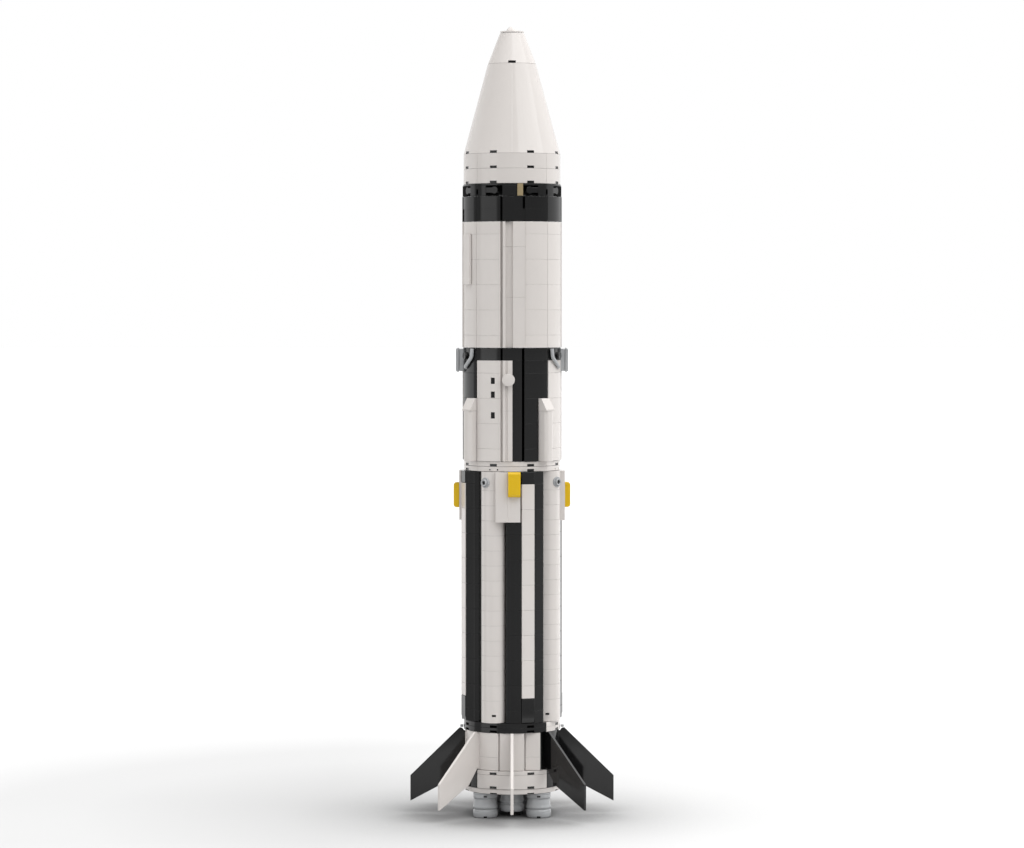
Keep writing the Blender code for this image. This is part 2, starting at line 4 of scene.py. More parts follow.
import bmesh
import bpy
from mathutils import Matrix, Vector


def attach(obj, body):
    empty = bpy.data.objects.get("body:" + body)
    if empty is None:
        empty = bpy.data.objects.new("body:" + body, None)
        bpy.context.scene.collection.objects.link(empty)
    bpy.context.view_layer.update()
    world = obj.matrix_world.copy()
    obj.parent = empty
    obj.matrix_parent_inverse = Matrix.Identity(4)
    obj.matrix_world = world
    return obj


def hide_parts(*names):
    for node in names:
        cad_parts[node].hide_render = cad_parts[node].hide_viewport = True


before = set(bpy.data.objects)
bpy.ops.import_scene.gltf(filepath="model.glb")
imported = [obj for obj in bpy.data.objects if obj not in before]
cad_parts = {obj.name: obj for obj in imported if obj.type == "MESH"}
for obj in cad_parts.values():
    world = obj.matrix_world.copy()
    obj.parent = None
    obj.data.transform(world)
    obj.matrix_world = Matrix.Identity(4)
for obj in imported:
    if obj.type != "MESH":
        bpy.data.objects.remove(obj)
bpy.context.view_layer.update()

# Sizes in millimetres, as in the CAD
MM = 0.001
GAP = 0.2                 # open joint between two pieces
SEAM = 0.05               # open joint between two tiles of one piece
HAIR = 0.02               # keeps two faces out of one plane
EDGE = 0.12               # rounding of a moulded edge
OVERLAP = 0.05            # how far a hidden backing reaches under its neighbours
SOFT_FROM = 28            # degrees between faces from which an edge is rounded
SHARP_FROM = 50           # degrees between faces from which shading isn't smoothed
PLATE = 3.2
PITCH = 8.0
ROW = 2 * PITCH

Z_DISC = 16.0
Z_BAND = Z_DISC + PLATE
Z_SKIRT = 31.0
Z_RING = Z_SKIRT + 3 * PITCH
Z_TANK = Z_RING + 2 * PLATE
Z_TANK_TOP = Z_TANK + 20 * PITCH
Z_SPLIT = Z_TANK_TOP + PLATE
Z_AFT = Z_SPLIT + PLATE
Z_AFT_TOP = Z_AFT + 9 * PITCH
Z_BLACK = Z_AFT_TOP + 10 * PITCH
Z_INSTRUMENTS = Z_BLACK + 2 * PITCH
Z_NOSE = Z_INSTRUMENTS + PITCH
Z_NOSE_MID = Z_NOSE + 3 * PLATE
Z_CONE = Z_NOSE_MID + 3 * PLATE
Z_CONE_TOP = Z_CONE + 57.6
Z_TIP = Z_CONE_TOP + 19.8
Z_TOP = Z_TIP + 4.1

R_DISC = 31.0
R_BAND = 31.5
R_SKIRT = 30.5
R_RING = 31.0
R_UPPER = 32.0
V_UPPER = 31.7            # the flat columns of the upper stage
R_INSIDE = 26.3           # inner radius of the first stage's arcs
R_INSTRUMENTS = 31.4
R_NOSE = 31.0
R_CONE_TOP = 15.5
R_TIP = 7.7
CORE = 16.0

FACES = ("front", "right", "back", "left")
STUDS = [(x, y) for x in (-12, -4, 4, 12) for y in (-12, -4, 4, 12) if abs(x) + abs(y) < 20]

dice = random.Random(4)


# Solids
def arc(radius, start, end, step=2.5):
    """Plan points (u, v) of one face by bearing, from start to end in degrees."""
    count = max(1, math.ceil(abs(end - start) / step))
    turns = [math.radians(start + (end - start) * i / count) for i in range(count + 1)]
    return [(radius * math.sin(t), radius * math.cos(t)) for t in turns]


def bend(u, v, radius, turns):
    """Points on a circle around (u, v), by angle in degrees from the first axis."""
    return [(u + radius * math.cos(math.radians(a)), v + radius * math.sin(math.radians(a))) for a in turns]


def bearing(u, radius=R_UPPER):
    """Bearing of the point across by u on a circle, in degrees."""
    return math.degrees(math.asin(u / radius))


def on_face(points, face):
    """Face coordinates (u, v) as plan points; face 0 is the front, then right, back, left."""
    c, s = math.cos(math.radians(90 * face)), math.sin(math.radians(90 * face))
    return [(u * c + v * s, u * s - v * c) for u, v in points]


def pull(low, high):
    """A closed solid between two outlines with the same number of points."""
    form = bmesh.new()
    a = [form.verts.new(Vector(p) * MM) for p in low]
    b = [form.verts.new(Vector(p) * MM) for p in high]
    form.faces.new(a)
    form.faces.new(list(reversed(b)))
    for i in range(len(a)):
        form.faces.new((a[i - 1], a[i], b[i], b[i - 1]))
    bmesh.ops.recalc_face_normals(form, faces=form.faces)
    return form


def prism(outline, z0, z1):
    return pull([(x, y, z0) for x, y in outline], [(x, y, z1) for x, y in outline])


def tile(points, face, z0, z1):
    """A flat outline in one face's plan coordinates, pulled up from z0 to z1."""
    return prism(on_face(points, face), z0, z1)


def spot(r, across, z, turn):
    """The point r out from the axis and that far across, seen at that bearing."""
    c, s = math.cos(math.radians(turn)), math.sin(math.radians(turn))
    return (r * s + across * c, -r * c + across * s, z)


def radial(outline, left, right, turn):
    """An outline of (radius, height) points in the plane at that bearing, left to right thick."""
    return pull(*([spot(r, across, z, turn) for r, z in outline] for across in (left, right)))


def box(v0, v1, z0, z1):
    return [(v0, z0), (v1, z0), (v1, z1), (v0, z1)]


def column(left, right, inside, outside):
    """Plan of a flat column, from left to right across one face."""
    return [(left, inside), (left, outside), (right, outside), (right, inside)]


def plaque(outline, inside, outside, turn):
    """An outline of (across, height) points at that bearing, from one radius out to the other."""
    return pull(*([spot(r, across, z, turn) for across, z in outline] for r in (inside, outside)))


def skin(form, loops):
    """Closes a form over its loops of vertices, with both ends."""
    for a, b in zip(loops, loops[1:]):
        for k in range(len(a)):
            form.faces.new((a[k - 1], a[k], b[k], b[k - 1]))
    form.faces.new(loops[0])
    form.faces.new(list(reversed(loops[-1])))
    bmesh.ops.recalc_face_normals(form, faces=form.faces)
    return form


def lathe(profile, sides, place=Matrix.Identity(4)):
    """A closed profile of (radius, height) points turned about the axis that place gives."""
    form = bmesh.new()
    rows = []
    for r, z in profile:
        if r < 1e-6:
            rows.append([form.verts.new(place @ Vector((0, 0, z * MM)))])
        else:
            turns = [math.tau * (k + 0.5) / sides for k in range(sides)]
            points = [Vector((r * MM * math.cos(t), r * MM * math.sin(t), z * MM)) for t in turns]
            rows.append([form.verts.new(place @ point) for point in points])
    pairs = list(zip(rows, rows[1:]))
    if len(rows[0]) > 1:
        pairs.append((rows[-1], rows[0]))
    for a, b in pairs:
        for k in range(sides):
            corners = []
            for row, i in ((a, k), (a, k + 1), (b, k + 1), (b, k)):
                vert = row[i % len(row)]
                if vert not in corners:
                    corners.append(vert)
            if len(corners) > 2:
                form.faces.new(corners)
    bmesh.ops.recalc_face_normals(form, faces=form.faces)
    return form


def upright(x, y, z=0):
    return Matrix.Translation((x * MM, y * MM, z * MM))


def facing(turn, r, across, z, swing=0.0):
    """A place on the surface at that bearing, whose own Z axis points outwards."""
    tilt = Matrix.Rotation(math.radians(turn + swing), 4, "Z") @ Matrix.Rotation(math.radians(90), 4, "X")
    return upright(*spot(r, across, z, turn)) @ tilt


def soften(form, width=EDGE, segments=2):
    edges = [e for e in form.edges if e.is_manifold and e.calc_face_angle(0) > math.radians(SOFT_FROM)]
    bmesh.ops.bevel(form, geom=edges, offset=width * MM, segments=segments, profile=0.5,
                    affect="EDGES", clamp_overlap=True)
    return form


def in_scene(name, data):
    """A new object in the scene."""
    obj = bpy.data.objects.new(name, data)
    bpy.context.scene.collection.objects.link(obj)
    return obj


class Piece:
    """One visible piece, gathered from closed solids that each have their own slight tone."""

    def __init__(self, name, body, colour, *nodes):
        self.name, self.body, self.colour, self.nodes = name, body, colour, nodes
        self.slot = colour + "_plastic"
        self.points, self.faces, self.tones, self.cuts = [], [], [], []

    def add(self, form, edge=EDGE, segments=2):
        if edge:
            soften(form, edge, segments)
        tone = dice.uniform(-1, 1)
        start = len(self.points)
        form.verts.index_update()
        self.points += [v.co.copy() for v in form.verts]
        self.faces += [[start + v.index for v in f.verts] for f in form.faces]
        self.tones += [tone] * len(form.verts)
        form.free()

    def cut(self, form):
        self.cuts.append(form)

    def mesh(self):
        mesh = bpy.data.meshes.new(self.name)
        mesh.from_pydata(self.points, [], self.faces)
        tones = mesh.attributes.new("tone", "FLOAT", "POINT")
        tones.data.foreach_set("value", self.tones)
        return mesh

    def carve(self, obj):
        """Takes the cuts out of the piece."""
        joined = bmesh.new()
        for form in self.cuts:
            part = bpy.data.meshes.new("cut")
            form.to_mesh(part)
            form.free()
            joined.from_mesh(part)
            bpy.data.meshes.remove(part)
        cutter_mesh = bpy.data.meshes.new(self.name + "_cuts")
        joined.to_mesh(cutter_mesh)
        joined.free()
        cutter = in_scene(self.name + "_cuts", cutter_mesh)
        modifier = obj.modifiers.new("cuts", "BOOLEAN")
        modifier.object = cutter
        modifier.operation = "DIFFERENCE"
        modifier.use_self = True
        graph = bpy.context.evaluated_depsgraph_get()
        carved = bpy.data.meshes.new_from_object(obj.evaluated_get(graph))
        obj.modifiers.clear()
        obj.data = carved
        bpy.data.objects.remove(cutter)

    def done(self):
        """Puts the piece in the scene, on its body."""
        obj = in_scene(self.name, self.mesh())
        if self.cuts:
            self.carve(obj)
        obj.data.materials.clear()
        obj.data.materials.append(PLASTICS[self.colour])
        obj.data.shade_smooth()
        obj.data.set_sharp_from_angle(angle=math.radians(SHARP_FROM))
        weighted = obj.modifiers.new("weighted_normals", "WEIGHTED_NORMAL")
        weighted.keep_sharp = True
        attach(obj, self.body)
        if self.nodes:
            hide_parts(*self.nodes)


# Materials
class Nodes:
    """A small builder for one node tree."""

    def __init__(self, tree):
        self.tree = tree

    def node(self, kind, **settings):
        made = self.tree.nodes.new(kind)
        for key, value in settings.items():
            setattr(made, key, value)
        return made

    def link(self, source, target):
        self.tree.links.new(source, target)

    def span(self, source, from_min, from_max, to_min, to_max, **settings):
        """A value in one range as a value in another."""
        made = self.node("ShaderNodeMapRange", **settings)
        ends = {"From Min": from_min, "From Max": from_max, "To Min": to_min, "To Max": to_max}
        for key, value in ends.items():
            made.inputs[key].default_value = value
        self.link(source, made.inputs["Value"])
        return made.outputs["Result"]

    def maths(self, operation, a, b):
        made = self.node("ShaderNodeMath", operation=operation)
        for socket, value in zip(made.inputs, (a, b)):
            if isinstance(value, (int, float)):
                socket.default_value = value
            else:
                self.link(value, socket)
        return made.outputs[0]

    def ramp(self, source, stops):
        """Brightness along a ramp; stops are (position from 0 to 1, brightness)."""
        made = self.node("ShaderNodeValToRGB")
        elements = made.color_ramp.elements
        while len(elements) < len(stops):
            elements.new(0.5)
        for element, (position, level) in zip(elements, stops):
            element.position = position
            element.color = (level, level, level, 1)
        self.link(source, made.inputs["Fac"])
        return made.outputs["Color"]

    def around(self, vector):
        """Bearing of a direction as a share of a full turn, with the camera's side at 0.5."""
        split = self.node("ShaderNodeSeparateXYZ")
        self.link(vector, split.inputs[0])
        turn = self.maths("ARCTAN2", split.outputs["X"], self.maths("MULTIPLY", split.outputs["Y"], -1.0))
        return split, self.maths("ADD", self.maths("MULTIPLY", turn, 1 / math.tau), 0.5)


def by_bearing(stops):
    """Ramp stops from (bearing in degrees, brightness)."""
    return [((turn + 180) / 360, level) for turn, level in stops]


class Shader(Nodes):
    """The node tree of one material, in the object's own space."""

    def __init__(self, name):
        self.material = bpy.data.materials.new(name)
        self.material.use_nodes = True
        super().__init__(self.material.node_tree)
        self.surface = self.tree.nodes["Principled BSDF"].inputs
        self.space = self.node("ShaderNodeTexCoord").outputs["Object"]

    def noise(self, scale, detail=2.0, stretch=None):
        made = self.node("ShaderNodeTexNoise")
        made.inputs["Scale"].default_value = scale
        made.inputs["Detail"].default_value = detail
        source = self.space
        if stretch:
            mapping = self.node("ShaderNodeMapping")
            mapping.inputs["Scale"].default_value = stretch
            self.link(self.space, mapping.inputs["Vector"])
            source = mapping.outputs["Vector"]
        self.link(source, made.inputs["Vector"])
        return made.outputs["Fac"]

    def swing(self, *noise):
        """Noise that swings evenly between -1 and 1."""
        return self.span(self.noise(*noise), 0.3, 0.7, -1.0, 1.0)

    def bump(self, scale, detail, strength, distance):
        made = self.node("ShaderNodeBump")
        made.inputs["Strength"].default_value = strength
        made.inputs["Distance"].default_value = distance
        self.link(self.noise(scale, detail), made.inputs["Height"])
        return made


# Noise scales per metre, and how far the marks are drawn out along the height
CLOUDS, FLOW, MARKS, GRAIN, PEEL, SINK = 45.0, 160.0, 900.0, 300.0, 1400.0, 70.0
FLOW_STRETCH = (1.0, 1.0, 0.25)
MARKS_STRETCH = (1.0, 1.0, 0.06)
# Shares of the tone's spread that come from the tile, the clouds and the flow marks
TILE_SHARE, CLOUD_SHARE, FLOW_SHARE = 0.35, 0.3, 0.2
GRAIN_SHARE = 0.3
SPECULAR = 0.5


def moulded(name, colour, roughness, spread=0.03, wear=0.06):
    """Glossy moulded plastic: tile-to-tile tone, flow marks, orange peel and faint handling marks."""
    s = Shader(name)
    tone = s.node("ShaderNodeAttribute", attribute_name="tone").outputs["Fac"]
    clouds = s.maths("MULTIPLY", s.swing(CLOUDS), spread * CLOUD_SHARE)
    flow = s.maths("MULTIPLY", s.swing(FLOW, 3.0, FLOW_STRETCH), spread * FLOW_SHARE)
    shade = s.maths("ADD", s.maths("MULTIPLY", tone, spread * TILE_SHARE), s.maths("ADD", clouds, flow))
    tint = s.node("ShaderNodeVectorMath", operation="SCALE")
    tint.inputs[0].default_value = colour
    s.link(s.maths("ADD", shade, 1.0), tint.inputs["Scale"])
    s.link(tint.outputs["Vector"], s.surface["Base Color"])
    marks = s.span(s.noise(MARKS, 4.0, MARKS_STRETCH), 0.55, 0.8, 0.0, 1.0)
    grain = s.maths("MULTIPLY", s.swing(GRAIN, 3.0), wear * GRAIN_SHARE)
    rough = s.maths("ADD", s.maths("MULTIPLY", marks, wear), grain)
    s.link(s.maths("ADD", rough, roughness), s.surface["Roughness"])
    s.surface["Specular IOR Level"].default_value = SPECULAR
    peel = s.bump(PEEL, 2.0, 0.06, 0.00003)
    sink = s.bump(SINK, 1.0, 0.10, 0.0003)
    s.link(sink.outputs["Normal"], peel.inputs["Normal"])
    s.link(peel.outputs["Normal"], s.surface["Normal"])
    return s.material


PLASTICS = {
    "white": moulded("white_plastic", (0.67, 0.633, 0.606), 0.07, wear=0.04),
    "black": moulded("black_plastic", (0.006, 0.006, 0.0062), 0.08, spread=0.25, wear=0.04),
    "grey": moulded("grey_plastic", (0.42, 0.43, 0.44), 0.22),
    "yellow": moulded("yellow_plastic", (0.72, 0.46, 0.005), 0.2),
    "tan": moulded("tan_plastic", (0.32, 0.25, 0.14), 0.30),
}

FIRST, UPPER, NOSE = "first_stage", "upper_stage", "nose"
# The black backs of all openings, which are painted shade, as one piece on each body
PAINTED_SHADE_BACKS = {body: Piece(body + "_painted_shade_in_openings", body, "black") for body in (FIRST, UPPER, NOSE)}
PAST = 1.0                # how far a cut starts outside the surface
BEHIND = 0.3              # how far a dark back reaches past the cut's end


def opening(piece, outline, left, right, turn, sunk=0.5):
    """A dark opening through a piece's surface, closed a little way in by a black back that is painted
    shade.
    """
    piece.cut(radial(outline, left, right, turn))
    rs = [r for r, z in outline]
    zs = [z for r, z in outline]
    back = box(min(rs) - BEHIND, max(rs) - PAST - sunk, min(zs) - OVERLAP, max(zs) + OVERLAP)
    PAINTED_SHADE_BACKS[piece.body].add(radial(back, left - OVERLAP, right + OVERLAP, turn), 0)


# Rings with notches under their lower edges
NOTCH = 4.8
NOTCH_HEIGHT = 1.6
NOTCH_DEPTH = 2.2
NOTCH_TURNS = [22.5 + 45 * k for k in range(8)]


def notches(piece, radius, z, turns=NOTCH_TURNS, height=NOTCH_HEIGHT):
    """Notches over the lower edge at z, each with painted shade: a black piece gets a black slope in each
    that faces its dark roof, any other piece a black back.
    """
    half = NOTCH / 2
    for turn in turns:
        outline = box(radius - NOTCH_DEPTH, radius + PAST, z, z + height)
        if piece.colour == "black":
            piece.cut(radial(outline, -half, half, turn))
            back = radius - NOTCH_DEPTH - BEHIND
            slope = [(back, z + HAIR), (radius - 0.5, z + HAIR), (back, z + height + 0.2)]
            PAINTED_SHADE_BACKS[piece.body].add(radial(slope, -half - OVERLAP, half + OVERLAP, turn), 0)
        else:
            opening(piece, outline, -half, half, turn)


def rows(low, seams, high):
    """Heights between seams, each with half a joint taken off."""
    edges = [low] + list(seams) + [high]
    spans = []
    for i, (a, b) in enumerate(zip(edges, edges[1:])):
        spans.append((a + (SEAM / 2 if i else 0), b - (SEAM / 2 if i < len(edges) - 2 else 0)))
    return spans


def skin_plan(radius, inner, start, end):
    """Plan of a curved wall, by bearing."""
    return arc(radius, start, end) + arc(inner, end, start, 5)


QUARTERS = [-45, 45, 135, 225]


def ring_sectors(piece, radius, inner, z0, z1):
    """Four arc pieces that meet between the faces."""
    side = math.degrees(SEAM / 2 / radius)
    for start in QUARTERS:
        piece.add(tile(skin_plan(radius, inner, start + side, start + 90 - side), 0, z0, z1))


def disk(piece, radius, z0, z1, step=5):
    """A plain round block behind a piece's skin."""
    piece.add(tile(arc(radius, 0, 360 - step, step), 0, z0, z1), 0)


# First stage: engines
BELL_TOP = 15.85
ENGINE_OUTSIDE = [
    (7.6, BELL_TOP), (7.75, 15.6), (7.75, 15.2), (7.5, 14.95), (7.75, 14.7), (7.75, 13.0), (7.55, 12.7),
    (7.1, 12.3), (6.9, 11.9), (6.95, 11.4), (7.2, 10.4), (7.4, 9.0), (7.55, 8.0), (7.95, 7.2),
    (8.0, 6.6), (7.85, 6.1), (7.4, 5.7), (7.3, 5.3), (7.45, 4.9), (7.85, 4.5), (7.9, 4.2),
    (7.7, 4.0), (7.95, 3.8), (8.0, 2.6), (7.9, 1.4), (7.75, 0.7), (7.4, 0.2), (7.1, 0.0)]
ENGINE_INSIDE = [(6.4, 0.0), (6.1, 1.2), (4.6, 6.2), (2.4, 8.4), (0.0, 8.8)]
# Heights of the small openings around a bell, and how far out their black backs, which are painted shade,
# reach
BELL_OPENINGS = [(-0.5, 1.35, 7.2), (13.25, 14.5, 7.3)]
BELL_OPENING_HALF = 1.15
BELL_CUT = (6.9, 9.0)
BELL_SHADE_BACK = 6.6


def in_bell(x, y, turn, near, far):
    """Plan of a small opening from near to far off a bell's own axis at (x, y)."""
    c, s = math.cos(math.radians(turn)), math.sin(math.radians(turn))
    wide = BELL_OPENING_HALF
    corners = ((-wide, near), (wide, near), (wide, far), (-wide, far))
    return [(x + a * c + b * s, y + a * s - b * c) for a, b in corners]


def engine(piece, axis, turn, lift, sides):
    """A bell whose own axis stands off the rocket's, raised into the base disc by the lift."""
    x, y, _ = spot(axis, 0, 0, turn)
    profile = [(0.0, BELL_TOP)] + [(r, min(z + lift, BELL_TOP)) for r, z in ENGINE_OUTSIDE + ENGINE_INSIDE]
    keep = [profile[0]]
    for point in profile[1:]:
        if point[1] < BELL_TOP or keep[-1] == profile[0]:
            keep.append(point)
    piece.add(lathe(keep, sides, upright(x, y)), 0)
    for own_turn in (0, 90, 180, 270):
        for z0, z1, back in BELL_OPENINGS:
            z0, z1 = z0 + lift, z1 + lift
            if z1 < BELL_TOP:
                piece.cut(prism(in_bell(x, y, own_turn, *BELL_CUT), z0, z1))
                # a black back behind each opening: painted shade
                hollow = in_bell(x, y, own_turn, BELL_SHADE_BACK, back)
                PAINTED_SHADE_BACKS[FIRST].add(prism(hollow, max(z0, lift + 0.2), z1 + OVERLAP), 0)


OUTER_ENGINE, INNER_ENGINE = 17.0 * math.sqrt(2), 11.5
for number, turn in enumerate((-45, 45, 135, -135), start=1):
    barrel = Piece("engine_bell_%d" % number, FIRST, "grey", "outer_engine_%d" % number)
    engine(barrel, OUTER_ENGINE, turn, 0.0, 64)
    barrel.done()
inner = Piece("inner_engine_bells", FIRST, "grey", "inner_engine_cluster")
for turn in (0, 90, 180, 270):
    engine(inner, INNER_ENGINE, turn, PLATE, 48)
inner.done()

# First stage: base disc, lower band and skirt
DISC_HUB = 12.0
disc = Piece("base_disc_plate", FIRST, "white", "base_disc")
ring_sectors(disc, R_DISC, DISC_HUB, Z_DISC + GAP / 2, Z_BAND - GAP / 2)
disk(disc, DISC_HUB - 0.1, Z_DISC + GAP / 2, Z_BAND - GAP / 2, 7.5)
notches(disc, R_DISC, Z_DISC + GAP / 2, height=0.8)
disc.done()

Z_BAND_PLATE = Z_SKIRT - PLATE + 0.4
BAND_EDGE = 0.25


def band_sector(piece, start):
    """A quarter of the band from that bearing on, a brick with a plate on it."""
    side = math.degrees(GAP / 2 / R_BAND)
    plan = skin_plan(R_BAND, R_INSIDE, start + side, start + 90 - side)
    for z0, z1 in rows(Z_BAND + GAP / 2, [Z_BAND_PLATE], Z_SKIRT - GAP / 2):
        piece.add(tile(plan, 0, z0, z1), BAND_EDGE)
    for turn in (start + 22.5, start + 67.5):
        for z in (Z_BAND + 0.3, Z_BAND_PLATE + 0.2):
            notches(piece, R_BAND, z, [turn])


band_white = Piece("lower_band_white_arcs", FIRST, "white", "lower_band_white")
band_sector(band_white, -45)
band_sector(band_white, 135)
band_white.done()
BLACK_QUARTERS = (("right", 45), ("left", 225))
for side, start in BLACK_QUARTERS:
    piece = Piece("lower_band_arc_" + side, FIRST, "black", "lower_band_black_" + side)
    band_sector(piece, start)
    piece.done()

SKIRT_COLUMN = 7.7
SKIRT_COLUMN_V = R_SKIRT - 0.5
SKIRT_GAP = 1.0           # groove on both sides of a column
SKIRT_GROOVE = 2.2
SKIRT_LOW, SKIRT_HIGH = Z_SKIRT + GAP / 2, Z_RING - GAP / 2
Z_SKIRT_SEAM = 39.4
HALF_GAP = 0.15           # between the two colours where they meet in the middle of a column
# A white sector ends in a flat panel; the recess between the panel and the fin, and the panel's side, are
# lined with black as painted shade
FLAT_PANEL = (SKIRT_COLUMN + SKIRT_GAP, 18.0)
FLAT_PANEL_V = 26.5
FLAT_PANEL_BACK = 20.0
RECESS_R = R_SKIRT - 2.6


def flat_panel(piece, axis, high):
    """Plan of the flat panel beside the column at the bearing axis; the recess ends at the bearing high."""
    left, right = FLAT_PANEL
    face = axis / 90
    low_z, high_z = SKIRT_LOW + OVERLAP, SKIRT_HIGH - OVERLAP
    bed = column(SKIRT_COLUMN - 0.4, left + 0.4, FLAT_PANEL_BACK, FLAT_PANEL_V - 1.0)
    piece.add(tile(bed, face, low_z, high_z), 0)
    edge_turn = axis + bearing(right, R_SKIRT) - 0.5
    # black linings for the recess and the panel's side: painted shade
    recess = arc(RECESS_R, edge_turn, high, 5) + arc(26.1, high, edge_turn, 5)
    PAINTED_SHADE_BACKS[piece.body].add(tile(recess, 0, low_z, high_z), 0)
    side_shade = column(right + 0.05, right + 0.6, FLAT_PANEL_BACK, FLAT_PANEL_V - 0.3)
    PAINTED_SHADE_BACKS[piece.body].add(tile(side_shade, face, low_z, high_z), 0)
    return column(left, right, FLAT_PANEL_BACK, FLAT_PANEL_V)


def skirt_sector(piece, start, end):
    """Curved panels between the flat columns that face the four sides."""
    white = piece.colour == "white"
    side = math.degrees(GAP / 2 / R_SKIRT)
    edge = bearing(SKIRT_COLUMN + SKIRT_GAP, R_SKIRT)
    low, high = start + side, end - side
    spans = []
    at = low
    for axis in [90 * k for k in range(math.ceil(start / 90), math.floor(end / 90) + 1)]:
        if axis - edge > at:
            spans.append((at, axis - edge))
        whole_left, whole_right = axis > start + 1, axis < end - 1
        left = -SKIRT_COLUMN if whole_left else HALF_GAP
        right = SKIRT_COLUMN if whole_right else -HALF_GAP
        piece.add(tile(column(left, right, R_INSIDE, SKIRT_COLUMN_V), axis / 90, SKIRT_LOW, SKIRT_HIGH))
        reach = SKIRT_COLUMN + SKIRT_GAP + 0.5
        left = -reach if whole_left else HALF_GAP
        right = reach if whole_right else -HALF_GAP
        if white and axis == end - 45:
            right = SKIRT_COLUMN - 0.3
        groove = column(left, right, R_INSIDE - 0.1, SKIRT_COLUMN_V - SKIRT_GROOVE)
        piece.add(tile(groove, axis / 90, SKIRT_LOW + OVERLAP, SKIRT_HIGH - OVERLAP), 0)
        at = max(at, axis + edge)
    if at < high:
        spans.append((at, high))
    for a, b in spans:
        if white and b == high:
            face, plan = (end - 45) / 90, flat_panel(piece, end - 45, high)
        else:
            face, plan = 0, skin_plan(R_SKIRT, R_INSIDE, a, b)
        for z0, z1 in rows(SKIRT_LOW, [Z_SKIRT_SEAM], SKIRT_HIGH):
            piece.add(tile(plan, face, z0, z1))


skirt_white = Piece("skirt_panels_white", FIRST, "white", "skirt_white")
skirt_sector(skirt_white, -90, 45)
skirt_sector(skirt_white, 90, 225)
disk(skirt_white, 26.0, Z_BAND + GAP, SKIRT_HIGH)
skirt_white.done()
for side, start in BLACK_QUARTERS:
    piece = Piece("skirt_panel_black_" + side, FIRST, "black", "skirt_black_" + side)
    skirt_sector(piece, start, start + 45)
    piece.done()

# First stage: fins, in the plane at each bearing
FIN_THICKNESS = 1.9
FIN_INNER = R_SKIRT - 0.7  # runs into the skirt, so that no light gap shows
FIN_OUTLINE = [(39.4, 21.8), (65.4, 8.0), (65.4, 24.5), (33.8, 55.3), (32.6, 55.3), (31.5, 54.6),
               (31.0, 53.6), (FIN_INNER, 53.4), (FIN_INNER, Z_SKIRT + 0.8), (R_SKIRT + 1.6, Z_SKIRT + 0.8)]
FIN_NAMES = {-90: "black_left", -45: "white_front_left", 0: "white_front", 45: "black_front_right",
             90: "black_right", 135: "white_back_right", 180: "white_back", -135: "black_back_left"}
for turn, name in FIN_NAMES.items():
    fin = Piece("fin_panel_" + name, FIRST, name.split("_")[0], "fin_" + name)
    fin.add(radial(FIN_OUTLINE, -FIN_THICKNESS / 2, FIN_THICKNESS / 2, turn), 0.28, 3)
    fin.done()
CLIP = box(31.3, 33.3, 55.7, 57.3)
clips = Piece("fin_clips", FIRST, "grey")
for turn in (-90, 90, 180):
    clips.add(radial(CLIP, -1.2, 1.2, turn), 0.3, 3)
clips.done()

# First stage: lower ring
Z_RING_MID = Z_RING + PLATE + 0.1
RING_INSIDE = 24.0
for colour, start in (("black", -135), ("white", 45)):
    piece = Piece("lower_ring_plates_" + colour, FIRST, colour, "lower_ring_" + colour)
    side = math.degrees(GAP / 2 / R_RING)
    plan = skin_plan(R_RING, RING_INSIDE, start + side, start + 180 - side)
    for z0, z1 in rows(Z_RING + GAP / 2, [Z_RING_MID], Z_TANK - GAP / 2):
        piece.add(tile(plan, 0, z0, z1))
        notches(piece, R_RING, z0, [start + 22.5 + 45 * k for k in range(4)])
    piece.done()

# First stage: core with the top ring and its studs
STUD = [(0.0, 1.7), (2.2, 1.7), (2.4, 1.5), (2.4, -0.4), (0.0, -0.4)]


def studs(piece, z):
    """The studs that hold the stage above."""
    for x, y in STUDS:
        piece.add(lathe(STUD, 32, upright(x, y, z)), 0)


TOP_RING_INSIDE = 23.9
SMALL_HOLE = box(R_RING - 1.6, R_RING + PAST, Z_TANK_TOP + 0.7, Z_TANK_TOP + 1.6)
core = Piece("core_and_top_ring", FIRST, "white", "first_stage_core")
core.add(prism([(-CORE, -CORE), (CORE, -CORE), (CORE, CORE), (-CORE, CORE)], Z_RING, Z_TANK_TOP + 1), 0)
ring_sectors(core, R_RING, TOP_RING_INSIDE, Z_TANK_TOP + GAP / 2, Z_SPLIT - GAP / 2)
disk(core, TOP_RING_INSIDE - 0.1, Z_TANK_TOP + GAP / 2, Z_SPLIT - GAP / 2)
notches(core, R_RING, Z_TANK_TOP + GAP / 2, [22.5 + 90 * k for k in range(4)])
for face in range(4):
    # the other notches are filled by the covers' ends, all but two small holes
    # each small hole gets a black back as painted shade
    for across in (-14.1, -9.2):
        opening(core, SMALL_HOLE, -0.5, 0.5, 90 * face + bearing(across, R_RING), 0.4)
studs(core, Z_SPLIT - GAP / 2)
core.done()

